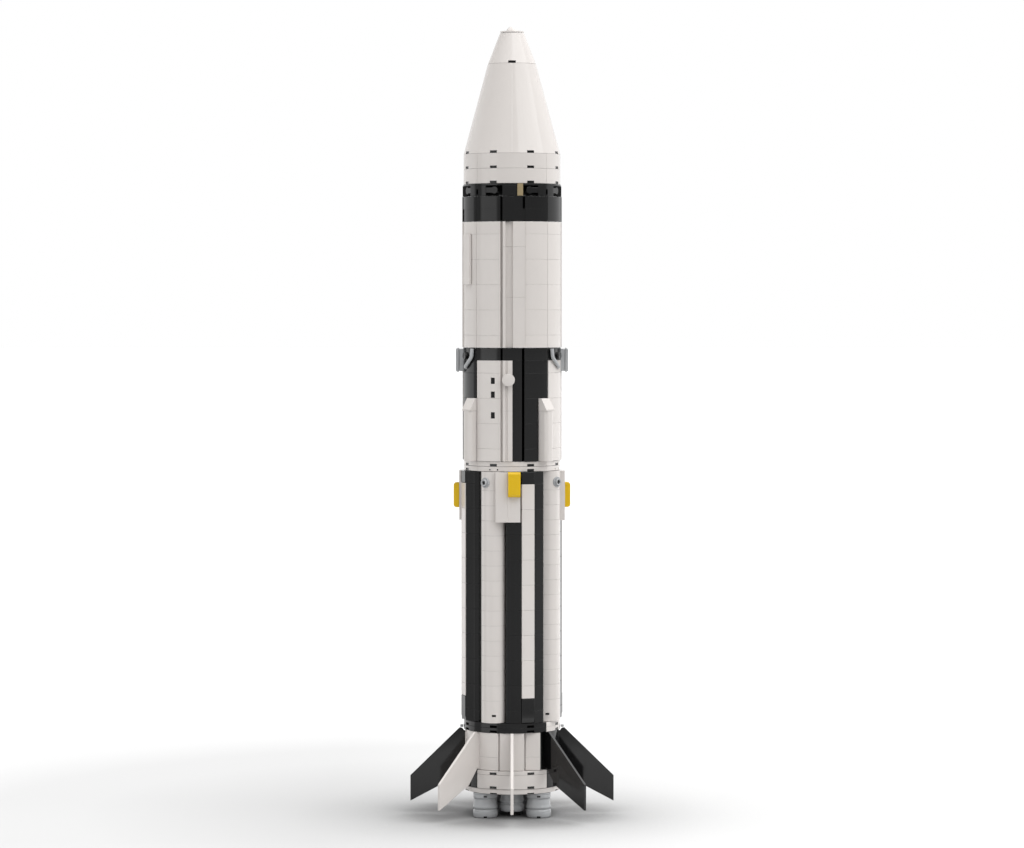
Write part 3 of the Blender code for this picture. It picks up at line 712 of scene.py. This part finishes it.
# First stage: the four faces
TANK_U, TANK_V, TANK_R = -11.7, 22.8, 7.9
TANK_SEAMS = [75.6 + 9.55 * k for k in range(15)]
TANK_LOW, TANK_HIGH = Z_TANK + GAP / 2, Z_TANK_TOP - GAP / 2
TANK_HOLE_Z = (65.5, 66.9)
BLACK_V = 30.0
BLACK_RISE = 2.2          # the black leans out towards the strip
BLACK_LEFT, BLACK_BEND = -3.7, 5.95
SHOULDER_U, SHOULDER_V = 20.0, 20.8
SHOULDER_LEAN = 43.5      # bearing that the shoulder faces
STRIP_TURN = 18.2
STRIP_LEFT, STRIP_RIGHT = -4.1, 4.25
STRIP_IN, STRIP_OUT = 30.2, 32.9
STRIP_LOW, STRIP_HIGH = 77.4, 213.4
STRIP_GAP = 0.15
COVER_LEFT, COVER_RIGHT = -10.5, 5.3
COVER_IN, COVER_OUT = 27.0, 33.8
COVER_LOW = Z_TANK_TOP - 4 * PITCH
GROOVE_U, GROOVE = -2.6, 0.25
YELLOW_LEFT, YELLOW_RIGHT, YELLOW_OUT = -2.5, 5.4, 37.4
YELLOW_ROUND = 1.9


def on_strip(across, out):
    """Face coordinates of a point in the strip's own frame, which is turned from the face's."""
    c, s = math.cos(math.radians(STRIP_TURN)), math.sin(math.radians(STRIP_TURN))
    return (out * s + across * c, out * c - across * s)


def strip_tile(piece, outline, face):
    piece.add(radial(outline, STRIP_LEFT, STRIP_RIGHT, 90 * face + STRIP_TURN), 0.25, 3)


for face, side in enumerate(FACES):
    turn = 90 * face
    tank = Piece("tank_bricks_" + side, FIRST, "white", "white_tank_" + side)
    plan = [(TANK_U - TANK_R, CORE + GAP)] + bend(TANK_U, TANK_V, TANK_R, range(180, -1, -6))
    plan.append((TANK_U + TANK_R, CORE + GAP))
    for z0, z1 in rows(TANK_LOW, TANK_SEAMS, TANK_HIGH):
        tank.add(tile(plan, face, z0, z1), 0.1)
    # holes through the tank, each closed by a black back as painted shade
    for surface, left, right, aside in ((TANK_V + TANK_R, TANK_U - 1.1, TANK_U + 1.5, 0),
                                        (TANK_R - TANK_U, TANK_V - 1.6, TANK_V + 1.0, -90)):
        hole = box(surface - 1.9, surface + PAST, *TANK_HOLE_Z)
        opening(tank, hole, left, right, turn + aside, 0.4)
    inner_u = TANK_U + TANK_R - 0.4
    plan = [(COVER_LEFT, COVER_IN), (COVER_LEFT, COVER_OUT), (GROOVE_U - GROOVE, COVER_OUT),
            (GROOVE_U, COVER_OUT - GROOVE), (GROOVE_U + GROOVE, COVER_OUT), (COVER_RIGHT, COVER_OUT),
            (COVER_RIGHT, BLACK_V + GAP), (inner_u, BLACK_V + GAP), (inner_u, COVER_IN)]
    tank.add(tile(plan, face, COVER_LOW, TANK_HIGH - 0.1), 0.15)
    tank.done()

    black = Piece("black_tiles_" + side, FIRST, "black", "black_tank_" + side)
    bed_start, bed_end = on_strip(STRIP_LEFT - 0.1, STRIP_IN), on_strip(STRIP_RIGHT + 0.1, STRIP_IN)
    body = [(BLACK_LEFT, CORE + GAP), (BLACK_LEFT, BLACK_V), bed_start, bed_end,
            (bed_end[0], SHOULDER_V), (CORE - GAP, SHOULDER_V), (CORE - GAP, CORE + GAP)]
    black.add(tile(body, face, TANK_LOW, TANK_HIGH), 0.1)
    left = BLACK_LEFT + HAIR
    slope = [(left, BLACK_V - 0.5), (left, BLACK_V + 0.05), (BLACK_BEND, BLACK_V + BLACK_RISE),
             (bed_start[0], bed_start[1] - 0.3)]
    for z0, z1 in rows(TANK_LOW + HAIR, [Z_TANK + PITCH + ROW * k for k in range(8)], COVER_LOW - 0.1):
        black.add(tile(slope, face, z0, z1), 0.2)
    left, right = bed_end[0] + HAIR, SHOULDER_U - HAIR
    rise = on_strip(STRIP_RIGHT + 0.1, STRIP_OUT - 0.4)
    fall = (SHOULDER_U - rise[0]) * math.tan(math.radians(SHOULDER_LEAN))
    corner = [(left, SHOULDER_V), (left, bed_end[1]), rise, (right, rise[1] - fall), (right, SHOULDER_V)]
    for z0, z1 in rows(TANK_LOW, [Z_TANK + PITCH + ROW * k for k in range(10)], TANK_HIGH):
        black.add(tile(corner, face, z0, z1), 0.25)
    low, high = TANK_LOW + 0.3, STRIP_LOW - STRIP_GAP
    strip_tile(black, [(STRIP_IN + HAIR, low), (STRIP_OUT - 0.6, low), (STRIP_OUT, TANK_LOW + 3.4),
                       (STRIP_OUT, high), (STRIP_IN + HAIR, high)], face)
    strip_tile(black, box(STRIP_IN + HAIR, STRIP_OUT, STRIP_HIGH + STRIP_GAP, TANK_HIGH - 0.1), face)
    black.done()

    strip = Piece("strip_tiles_" + side, FIRST, "white", "strip_" + side)
    for z0, z1 in rows(STRIP_LOW, [STRIP_LOW + PITCH + ROW * k for k in range(8)], STRIP_HIGH):
        strip_tile(strip, box(STRIP_IN + 0.1, STRIP_OUT, z0, z1), face)
    strip.done()

    top = Z_TANK_TOP - (0.0 if face in (0, 2) else PITCH)
    low, back, out = top - ROW, COVER_OUT + SEAM, YELLOW_OUT - YELLOW_ROUND
    outline = [(back, low)] + bend(out, low + YELLOW_ROUND, YELLOW_ROUND, range(-90, 1, 15))
    outline += bend(out, top - YELLOW_ROUND, YELLOW_ROUND, range(0, 91, 15)) + [(back, top)]
    yellow = Piece("yellow_slopes_" + side, FIRST, "yellow", "yellow_piece_" + side)
    yellow.add(radial(outline, YELLOW_LEFT, YELLOW_RIGHT, turn), 0.2)
    yellow.done()

# First stage: grey pins in the tanks
PIN = [(0.0, -1.0), (3.1, -1.0), (3.3, -0.8), (3.3, 0.3), (3.1, 0.5), (2.9, 0.5), (2.35, 0.2), (2.35, 1.5),
       (2.15, 1.8), (1.6, 1.8), (1.4, 1.6), (1.35, 0.2), (0.0, 0.2)]
# a black disc that paints the shade in each pin's hole
PIN_HOLE_SHADE = [(0.0, 0.9), (1.3, 0.9), (1.3, 0.3), (0.0, 0.3)]
PIN_Z = 214.3
PIN_TURN = 42             # bearing of a pin on its tank
pins = Piece("tank_pins", FIRST, "grey")
for face in range(4):
    u = TANK_U - TANK_R * math.sin(math.radians(PIN_TURN))
    v = TANK_V + TANK_R * math.cos(math.radians(PIN_TURN))
    place = facing(90 * face, v, u, PIN_Z, -45)
    pins.add(lathe(PIN, 40, place), 0)
    PAINTED_SHADE_BACKS[FIRST].add(lathe(PIN_HOLE_SHADE, 24, place), 0)
pins.done()

# Upper stage: interstage ring
RING_HUB = 20.6
STUD_ROOM = 2.1
TUBE = [(2.4, 0.0), (3.2, 0.0), (3.2, 2.3), (2.4, 2.3)]


def clutch_ring(piece, radius, z0, z1):
    """A ring with notches, hollow below, with the tubes that take the studs."""
    ring_sectors(piece, radius, RING_HUB - 0.1, z0, z1)
    disk(piece, RING_HUB, z0 + STUD_ROOM, z1)
    notches(piece, radius, z0)
    for x in (-8, 0, 8):
        for y in (-8, 0, 8):
            piece.add(lathe(TUBE, 24, upright(x, y, z0)), 0)


interstage = Piece("interstage_ring_plate", UPPER, "white", "interstage_ring")
clutch_ring(interstage, R_RING, Z_SPLIT + GAP / 2, Z_AFT - GAP / 2)
interstage.done()

# Upper stage: black aft section
DARK_COLUMN = (-5.9, 6.3)
DARK_GAPS = (1.4, 1.6)
V_DARK = V_UPPER - 0.65
PANEL_TOP = Z_AFT_TOP - PITCH
PANEL_RIGHT = 0.3
AFT_SEAMS = [Z_AFT + PITCH + ROW * k for k in range(4)]
AFT_LOW, AFT_HIGH = Z_AFT + GAP / 2, Z_AFT_TOP - GAP / 2
AFT_INSIDE = 25.6
SKIN_IN = 27.5
CORNER = 44.85
POD_WIDTH, POD_SIDE = 7.4, -3.4
POD_IN, POD_OUT = 28.8, 37.8
POD_EAVE = Z_AFT + 4 * PITCH
POD_TOP, POD_TOP_OUT = Z_AFT + 5 * PITCH, 33.5
POD_FACE, POD_HALF, POD_CORNER = 37.7, 3.5, 2.4


def shoulder(piece, face, start, end, z0, z1, inner=SKIN_IN, edge=EDGE):
    piece.add(tile(skin_plan(R_UPPER, inner, start, end), face, z0, z1), edge)


aft = Piece("aft_tiles_black", UPPER, "black", "aft_section_black")
disk(aft, AFT_INSIDE, AFT_LOW, AFT_HIGH)
left_end = bearing(DARK_COLUMN[0] - DARK_GAPS[0])
right_end = bearing(DARK_COLUMN[1] + DARK_GAPS[1])
beside_pod = 45 - bearing(POD_WIDTH / 2 - POD_SIDE + 0.3)
for face in range(4):
    z0 = PANEL_TOP + SEAM
    shoulder(aft, face, -CORNER, left_end, z0, AFT_HIGH)
    shoulder(aft, face, right_end, CORNER, z0, AFT_HIGH)
    aft.add(tile(column(*DARK_COLUMN, SKIN_IN, V_DARK), face, z0, AFT_HIGH))
    for z0, z1 in rows(AFT_LOW, AFT_SEAMS, PANEL_TOP - SEAM / 2):
        end = CORNER if z0 > POD_TOP - 1 else beside_pod
        shoulder(aft, face, right_end, end, z0, z1, AFT_INSIDE + 0.1)
    plan = column(PANEL_RIGHT + 0.05, DARK_COLUMN[1], AFT_INSIDE + 0.1, V_DARK)
    for z0, z1 in rows(AFT_LOW, [AFT_LOW + 4 * PITCH], PANEL_TOP - SEAM / 2):
        aft.add(tile(plan, face, z0, z1))
aft.done()

# Upper stage: white panels on the aft section
PANEL_BACK = 26.2
PANEL_GROOVE = [(-4.2, 0.0), (-4.0, 0.8), (-2.8, 0.8), (-2.6, 0.0)]
PANEL_GAP = 2.4
PANEL_SLOTS = (279.0, 270.2, 257.1)
ROUND_TILE = [(0.0, 3.0), (3.8, 3.0), (4.05, 2.75), (4.05, 0.35), (1.8, 0.35), (1.8, -1.0), (0.0, -1.0)]
for face, side in enumerate(FACES):
    panel = Piece("aft_panel_tiles_" + side, UPPER, "white", "aft_panel_white_" + side)
    for z0, z1 in rows(AFT_LOW, AFT_SEAMS, PANEL_TOP - SEAM / 2):
        shoulder(panel, face, -CORNER + 0.9, left_end, z0, z1, PANEL_BACK)
    left, right = DARK_COLUMN[0], PANEL_RIGHT - 0.05
    plan = [(left, PANEL_BACK), (left, V_UPPER)] + [(u, V_UPPER - deep) for u, deep in PANEL_GROOVE]
    plan += [(right, V_UPPER), (right, PANEL_BACK)]
    gap = column(left - DARK_GAPS[0] - 0.3, left + 0.3, PANEL_BACK, V_UPPER - PANEL_GAP)
    for z0, z1 in rows(AFT_LOW, [AFT_LOW + 4 * PITCH], PANEL_TOP - SEAM / 2):
        panel.add(tile(plan, face, z0, z1), 0.08)
        panel.add(tile(gap, face, z0, z1), 0)
    pod = [(POD_SIDE + POD_HALF, POD_IN)]
    for sign, start in ((1, 0), (-1, 90)):
        middle = POD_SIDE + sign * (POD_HALF - POD_CORNER)
        pod += bend(middle, POD_FACE - POD_CORNER, POD_CORNER, range(start, start + 91, 7))
    pod.append((POD_SIDE - POD_HALF, POD_IN))
    panel.add(tile(pod, face - 0.5, AFT_LOW, POD_EAVE - HAIR), 0.12)
    back = POD_IN - 0.2
    head = [(back, POD_EAVE), (POD_OUT, POD_EAVE), (POD_OUT, POD_EAVE + 1.0), (POD_TOP_OUT, POD_TOP),
            (back, POD_TOP)]
    panel.add(radial(head, POD_SIDE - POD_WIDTH / 2, POD_SIDE + POD_WIDTH / 2, 90 * face - 45), 0.15)
    if face == 0:
        # slots, each closed by a black back as painted shade
        for z in PANEL_SLOTS:
            opening(panel, box(27.2, 31.1, z - 2.0, z + 2.0), -13.3, -10.9, 0, 0.9)
        panel.add(lathe(ROUND_TILE, 48, facing(0, V_UPPER, -2.3, 279.6)), 0)
    panel.done()

# Upper stage: white section and black band
WHITE_COLUMN = (-5.9, 8.3)
CHANNEL = (-4.1, 0.6)
CHANNEL_DEPTH = 2.0
SECTION_INSIDE = 26.8
SECTION_BACK = 26.9
SECTION_GAP = 2.8
WHITE_LOW, WHITE_HIGH = Z_AFT_TOP + GAP / 2, Z_BLACK - GAP / 2
WHITE_SEAMS = [Z_AFT_TOP + PITCH + ROW * k for k in range(5)]
BAND_COLUMN = (-5.9, 8.2)
BAND_LOW, BAND_HIGH = Z_BLACK + GAP / 2, Z_INSTRUMENTS - GAP / 2


def shoulders(piece, face, flat, z0, z1, edge=EDGE):
    """The round parts at both sides of a flat column, with a gap at its left."""
    shoulder(piece, face, -CORNER, bearing(flat[0] - 1.5), z0, z1, SECTION_BACK, edge)
    shoulder(piece, face, bearing(flat[1] + 0.05), CORNER, z0, z1, SECTION_BACK, edge)


section = Piece("white_section_tiles", UPPER, "white", "white_section")
disk(section, SECTION_INSIDE, WHITE_LOW, WHITE_HIGH)
for face in range(4):
    for z0, z1 in rows(WHITE_LOW, WHITE_SEAMS, WHITE_HIGH):
        shoulders(section, face, WHITE_COLUMN, z0, z1)
    left, right = WHITE_COLUMN
    sunk = V_UPPER - CHANNEL_DEPTH
    plan = [(left, SECTION_BACK), (left, V_UPPER), (CHANNEL[0], V_UPPER), (CHANNEL[0], sunk),
            (CHANNEL[1], sunk), (CHANNEL[1], V_UPPER), (right, V_UPPER), (right, SECTION_BACK)]
    for z0, z1 in rows(WHITE_LOW, [Z_AFT_TOP + 4 * PITCH, Z_AFT_TOP + 8 * PITCH], WHITE_HIGH):
        section.add(tile(plan, face, z0, z1))
    gap = column(left - 1.8, left + 0.3, SECTION_BACK, V_UPPER - SECTION_GAP)
    section.add(tile(gap, face, WHITE_LOW, WHITE_HIGH), 0)
section.done()

band = Piece("black_band_tiles", UPPER, "black", "black_band")
disk(band, SECTION_INSIDE, BAND_LOW, BAND_HIGH)
for face in range(4):
    left, right = BAND_COLUMN
    for z0, z1 in rows(BAND_LOW, [Z_BLACK + PITCH], BAND_HIGH):
        shoulders(band, face, BAND_COLUMN, z0, z1, 0.05)
        end = right - (1.5 if z0 > Z_BLACK + 1 else 0.0)
        band.add(tile(column(left, end, SECTION_BACK, V_UPPER), face, z0, z1), 0.05)
band.done()

# Instrument ring: a thin flange over walls with windows, and a round bar that ends in each window
RING_LOW, RING_HIGH = Z_INSTRUMENTS + GAP / 2, Z_NOSE - GAP / 2
LIP = 1.1
WALL_IN, WALL_R = 26.5, 31.2
WALL_TOP = RING_HIGH - LIP - HAIR
WINDOW = (6.0, 16.6)
BAR_TURN = 24.7
BAR_IN, BAR_OUT = 27.0, 30.7
BAR_START, BAR_Z, BAR_NECK = -4.7, 399.6, 1.7
KNOB, KNOB_R = 1.7, 2.35
SLOT, SLOT_Z = 1.7, (396.8, 400.2)
TAN_LEFT, TAN_RIGHT, TAN_IN = 3.3, 7.0, 28.9
ring = Piece("instrument_ring_parts", UPPER, "black", "instrument_ring")
disk(ring, 24.5, RING_LOW, RING_HIGH)
ring_sectors(ring, R_INSTRUMENTS, 24.6, RING_HIGH - LIP, RING_HIGH)
for face in range(4):
    right = TAN_LEFT - 0.3 if face == 0 else WINDOW[0]
    ring.add(tile(column(-WINDOW[0], right, WALL_IN, V_UPPER - 0.2), face, RING_LOW, WALL_TOP))
    for sign in (-1, 1):
        a, b = sorted((sign * bearing(WINDOW[1], WALL_R), sign * 45.0))
        ring.add(tile(skin_plan(WALL_R, WALL_IN, a, b), face, RING_LOW, WALL_TOP))
        knob = bend(KNOB, BAR_Z, KNOB_R, range(-132, 133, 12))
        bar_end = [(BAR_START, BAR_Z - BAR_NECK)] + knob + [(BAR_START, BAR_Z + BAR_NECK)]
        outline = [(-sign * across, z) for across, z in bar_end]
        ring.add(plaque(outline, BAR_IN, BAR_OUT, 90 * face + sign * BAR_TURN), 0.3)
# the windows' back slopes up to the flange, so that they look dark
back = [(24.0, RING_LOW + 0.05), (30.3, RING_LOW + 0.05), (25.0, RING_HIGH - LIP), (24.0, RING_HIGH - LIP)]
ring.add(lathe(back, 96), 0)
for turn in QUARTERS:
    ring.cut(radial(box(WALL_R - 1.6, WALL_R + PAST, *SLOT_Z), -SLOT / 2, SLOT / 2, turn))
studs(ring, RING_HIGH)
ring.done()

tan = Piece("tan_plate_end", UPPER, "tan", "tan_tile")
tan.add(radial(box(TAN_IN, R_INSTRUMENTS - 0.2, RING_LOW, RING_HIGH), TAN_LEFT, TAN_RIGHT, 0), 0.15)
tan.done()

# Brackets with their hooked arms, and the raised plate
HOOK = ((31.0, -67.5, 286.8), (33.3, -63.4, 287.6), (33.6, -50.2, 293.6), (33.4, -49.3, 299.2))
HOOK_R = 1.15
HOOK_BEND = 1.3
BRACKET_LOW, BRACKET_HIGH = 284.2, 299.4
BRACKET_FACE, BRACKET_ROUND = 33.9, 1.3
LUMP_TURN, LUMP_Z = 24, 294.6


def bar(points, radius, sides=16):
    """A round bar along (radius, bearing, height) points, rounded at the bends."""
    route = [Vector(spot(r, 0, z, turn)) for r, turn, z in points]
    smooth = [route[0]]
    for a, b, c in zip(route, route[1:], route[2:]):
        reach = min(HOOK_BEND, (b - a).length / 2, (c - b).length / 2)
        p, q = b + (a - b).normalized() * reach, b + (c - b).normalized() * reach
        for k in range(7):
            t = k / 6
            smooth.append(p * (1 - t) ** 2 + b * 2 * t * (1 - t) + q * t * t)
    smooth.append(route[-1])
    form = bmesh.new()
    normal = Vector((0, 0, 1))
    loops = []
    for i, point in enumerate(smooth):
        ahead = smooth[min(i + 1, len(smooth) - 1)] - smooth[max(i - 1, 0)]
        ahead.normalize()
        normal = (normal - ahead * normal.dot(ahead)).normalized()
        other = ahead.cross(normal)
        loops.append([])
        for k in range(sides):
            a = math.tau * k / sides
            around = (normal * math.cos(a) + other * math.sin(a)) * radius
            loops[-1].append(form.verts.new((point + around) * MM))
    return skin(form, loops)


lumps = Piece("bracket_studs", UPPER, "black")
for side, face in (("right", 1), ("left", 3)):
    bracket = Piece("bracket_arms_" + side, UPPER, "grey", "bracket_" + side)
    turn = 90 * face
    z0, z1 = BRACKET_LOW, BRACKET_HIGH
    bracket.add(radial(box(V_UPPER - 1.4, BRACKET_FACE - 0.2, z0 + 0.5, z1 - 0.5), -7.6, 7.6, turn), 0.2)
    outline = [(BRACKET_FACE, z0)]
    for z, start in ((z0 + BRACKET_ROUND, 270), (z1 - BRACKET_ROUND, 0)):
        outline += bend(BRACKET_FACE + 0.7, z, BRACKET_ROUND, range(start, start + 91, 15))
    outline.append((BRACKET_FACE, z1))
    bracket.add(radial(outline, -8.0, 8.0, turn), 0.35, 3)
    bracket.add(radial(box(BRACKET_FACE - 0.3, BRACKET_FACE + 0.1, z0 + 1.5, z1 - 1.5), -6.5, 6.5, turn), 0)
    for sign in (-1, 1):
        bracket.add(bar([(r, turn + sign * (90 + t), z) for r, t, z in HOOK], HOOK_R), 0)
        lumps.add(lathe(STUD, 32, facing(turn + sign * LUMP_TURN, R_UPPER - 0.2, 0, LUMP_Z)), 0)
    bracket.done()
lumps.done()

RAISED_Z = (339.8, 371.8)
plate = Piece("raised_plate_tile", UPPER, "white", "raised_plate")
plate.add(radial(box(R_UPPER + 0.1, R_UPPER + 1.6, *RAISED_Z), -4.0, 4.0, -60), 0.2)
plate.done()

# Nose
CONE_STEPS = 48
CONE_INSIDE = 0.4
DOME = [(0.0, 0.0), (1.1, 0.05), (1.6, 0.25), (2.3, 0.8), (3.1, 1.6), (3.7, 2.4), (4.0, 2.9)]
DOME_FLANGE = [(5.6, 1.15), (7.6, 1.1), (R_TIP, 0.9), (R_TIP, 0.15), (0.0, 0.15)]
lower = Piece("nose_ring_lower_arcs", NOSE, "white", "nose_ring_lower")
clutch_ring(lower, R_NOSE, Z_NOSE + GAP / 2, Z_NOSE_MID - GAP / 4)
lower.done()
upper = Piece("nose_ring_upper_arcs", NOSE, "white", "nose_ring_upper")
ring_sectors(upper, R_NOSE, 18.0, Z_NOSE_MID + GAP / 4, Z_CONE - GAP / 4)
notches(upper, R_NOSE, Z_NOSE_MID + GAP / 4)
upper.done()
for side, start in (("right", 0), ("left", -180)):
    half = Piece("cone_shell_" + side, NOSE, "white", "nose_cone_" + side)
    z0, z1 = Z_CONE + GAP / 4, Z_CONE_TOP - GAP / 4
    shift = Vector(spot(SEAM / 2, 0, 0, start + 90))
    corners = ((CONE_INSIDE, z0), (R_NOSE, z0), (R_CONE_TOP, z1), (CONE_INSIDE, z1))
    form = bmesh.new()
    loops = []
    for k in range(CONE_STEPS + 1):
        points = [Vector(spot(r, 0, z, start + 180 * k / CONE_STEPS)) + shift for r, z in corners]
        loops.append([form.verts.new(point * MM) for point in points])
    half.add(skin(form, loops))
    notches(half, R_NOSE, z0, [start % 360 + 22.5 + 45 * k for k in range(4)])
    half.done()
upper_cone = Piece("cone_top_shell", NOSE, "white", "nose_cone_upper")
foot, top = Z_CONE_TOP + GAP / 4, Z_TIP - 0.1
upper_cone.add(lathe([(0.0, top), (R_TIP, top), (R_CONE_TOP, foot), (0.0, foot)], 96))
notches(upper_cone, R_CONE_TOP - 0.5, Z_CONE_TOP, [0, 90, 180, 270])
upper_cone.done()
tip = Piece("nose_tip_dome", NOSE, "white", "nose_tip")
dome = [(r, Z_TOP - down) for r, down in DOME] + [(r, Z_TIP + up) for r, up in DOME_FLANGE]
tip.add(lathe(dome, 64), 0)
tip.done()

# the black backs that paint the shade in all openings
for hollow in PAINTED_SHADE_BACKS.values():
    hollow.done()

# Studio walls: bearings in degrees to the right of the camera's side, and brightness
WALLS = by_bearing([(-180, 1.05), (-101, 1.05), (-97, 0.36), (-79, 0.36), (-74, 1.15), (-37, 1.15),
                    (-33, 0.39), (88.5, 0.39), (92, 1.05), (180, 1.05)])

# Floor: a sheet of paper that ends around the object; sizes in metres
FLOOR_HALF = 20.0
PAPER_EDGE = (0.34, 0.42)
PAPER_LEVEL = 0.64
GLOW = 0.33               # what the paper's far end adds to look like the backdrop
GLOW_FROM = (0.35, 1.0)
CONTACT = 0.12            # reach of the shade where the object stands
OPEN_FROM = 0.35
floor_mesh = bpy.data.meshes.new("floor")
corners = [(x * FLOOR_HALF, y * FLOOR_HALF, 0) for x, y in ((-1, -1), (1, -1), (1, 1), (-1, 1))]
floor_mesh.from_pydata(corners, [], [(0, 1, 2, 3)])
floor = in_scene("floor", floor_mesh)
paper = Shader("floor_paper")
length = paper.node("ShaderNodeVectorMath", operation="LENGTH")
paper.link(paper.space, length.inputs[0])
distance = length.outputs["Value"]
place, floor_around = paper.around(paper.space)
# Past the paper the studio's floor is as dim or as bright as the wall behind it
outside = paper.maths("SUBTRACT", paper.ramp(floor_around, WALLS), 1.0)
outside = paper.maths("MULTIPLY", outside, paper.span(distance, *PAPER_EDGE, 0.0, 1.0))
paper_edge = paper.maths("ADD", outside, 1.0)
# painted contact shadow: ambient occlusion darkens the paper's colour around where the object stands
contact = paper.node("ShaderNodeAmbientOcclusion", samples=8)
contact.inputs["Distance"].default_value = CONTACT
shadow = paper.span(contact.outputs["AO"], OPEN_FROM, 1.0, OPEN_FROM, 1.0)
# painted light and shade: a little brighter at the right, where the key light falls, and darker close to
# the object
lit_side = paper.maths("MULTIPLY", paper.span(place.outputs["X"], -0.12, 0.12, 0.93, 1.07),
                       paper.span(distance, 0.02, 0.28, 0.83, 1.0))
sheet = paper.node("ShaderNodeVectorMath", operation="SCALE")
sheet.inputs[0].default_value = [PAPER_LEVEL] * 3
shade = paper.maths("MULTIPLY", paper.maths("MULTIPLY", paper_edge, shadow), lit_side)
paper.link(shade, sheet.inputs["Scale"])
paper.link(sheet.outputs["Vector"], paper.surface["Base Color"])
paper.surface["Roughness"].default_value = 1.0
paper.surface["Specular IOR Level"].default_value = 0.0
glow = paper.maths("MULTIPLY", paper.span(distance, *GLOW_FROM, 0.0, 1.0), GLOW)
paper.link(paper.maths("MULTIPLY", glow, paper_edge), paper.surface["Emission Strength"])
floor_mesh.materials.append(paper.material)

# Studio: walls and a ceiling that the pieces reflect, and white behind the object
# Sine of the height above the horizon, and brightness
CEILING = [(0.0, 0.5), (0.55, 0.5), (0.75, 1.8), (1.0, 1.8)]
WALL_TO_CEILING = (0.22, 0.45)
# What is added high up on the right, by bearing
HIGH_SIDE = by_bearing([(-180, 0.0), (60, 0.0), (95, 0.9), (150, 0.9), (180, 0.0)])
ROOM_LEVEL = 0.92
world = bpy.data.worlds.new("studio")
bpy.context.scene.world = world
world.use_nodes = True
world.node_tree.nodes.clear()
studio = Nodes(world.node_tree)
direction = studio.node("ShaderNodeTexCoord").outputs["Generated"]
split, around = studio.around(direction)
raised = studio.node("ShaderNodeVectorMath", operation="ADD")
studio.link(studio.ramp(split.outputs["Z"], CEILING), raised.inputs[0])
studio.link(studio.ramp(around, HIGH_SIDE), raised.inputs[1])
height = studio.span(split.outputs["Z"], *WALL_TO_CEILING, 0.0, 1.0, interpolation_type="SMOOTHSTEP")
blend = studio.node("ShaderNodeMix", data_type="RGBA")
studio.link(height, blend.inputs["Factor"])
studio.link(studio.ramp(around, WALLS), blend.inputs[6])
studio.link(raised.outputs["Vector"], blend.inputs[7])
room = studio.node("ShaderNodeBackground")
room.inputs["Strength"].default_value = ROOM_LEVEL
studio.link(blend.outputs[2], room.inputs["Color"])
backdrop = studio.node("ShaderNodeBackground")
backdrop.inputs["Color"].default_value = (1.0, 1.0, 1.0, 1.0)
mix = studio.node("ShaderNodeMixShader")
rays = studio.node("ShaderNodeLightPath")
studio.link(rays.outputs["Is Camera Ray"], mix.inputs["Fac"])
studio.link(room.outputs[0], mix.inputs[1])
studio.link(backdrop.outputs[0], mix.inputs[2])
output = studio.node("ShaderNodeOutputWorld")
studio.link(mix.outputs[0], output.inputs["Surface"])

# Key light: a large rectangle high up at the right, sizes in metres
KEY_CENTRE = (1.34, -1.15, 2.09)
KEY_FACING = (0.628, -0.528, 0.572)
KEY_UP = (-0.6186, 0.1075, 0.7783)
KEY_WIDTH, KEY_HEIGHT = 2.52, 2.55
KEY_LEVEL = 1.65
light = bpy.data.lights.new("key_right", "AREA")
light.shape = "RECTANGLE"
light.size, light.size_y = KEY_WIDTH, KEY_HEIGHT
light.energy = KEY_LEVEL * math.pi * KEY_WIDTH * KEY_HEIGHT
key = in_scene("key_right", light)
away, up = Vector(KEY_FACING).normalized(), Vector(KEY_UP)
up = (up - away * up.dot(away)).normalized()
axes = Matrix((up.cross(away), up, away)).transposed().to_4x4()
key.matrix_world = Matrix.Translation(KEY_CENTRE) @ axes

# Camera
CAMERA_AT = (0, -2.300, 0.3333)
CAMERA_DOWN = 2.06        # degrees below the horizon
camera = in_scene("camera", bpy.data.cameras.new("camera"))
camera.data.lens = 126.14
camera.location = CAMERA_AT
camera.rotation_euler = (math.radians(90 - CAMERA_DOWN), 0, 0)
bpy.context.scene.camera = camera
bpy.context.scene.view_settings.view_transform = "Standard"
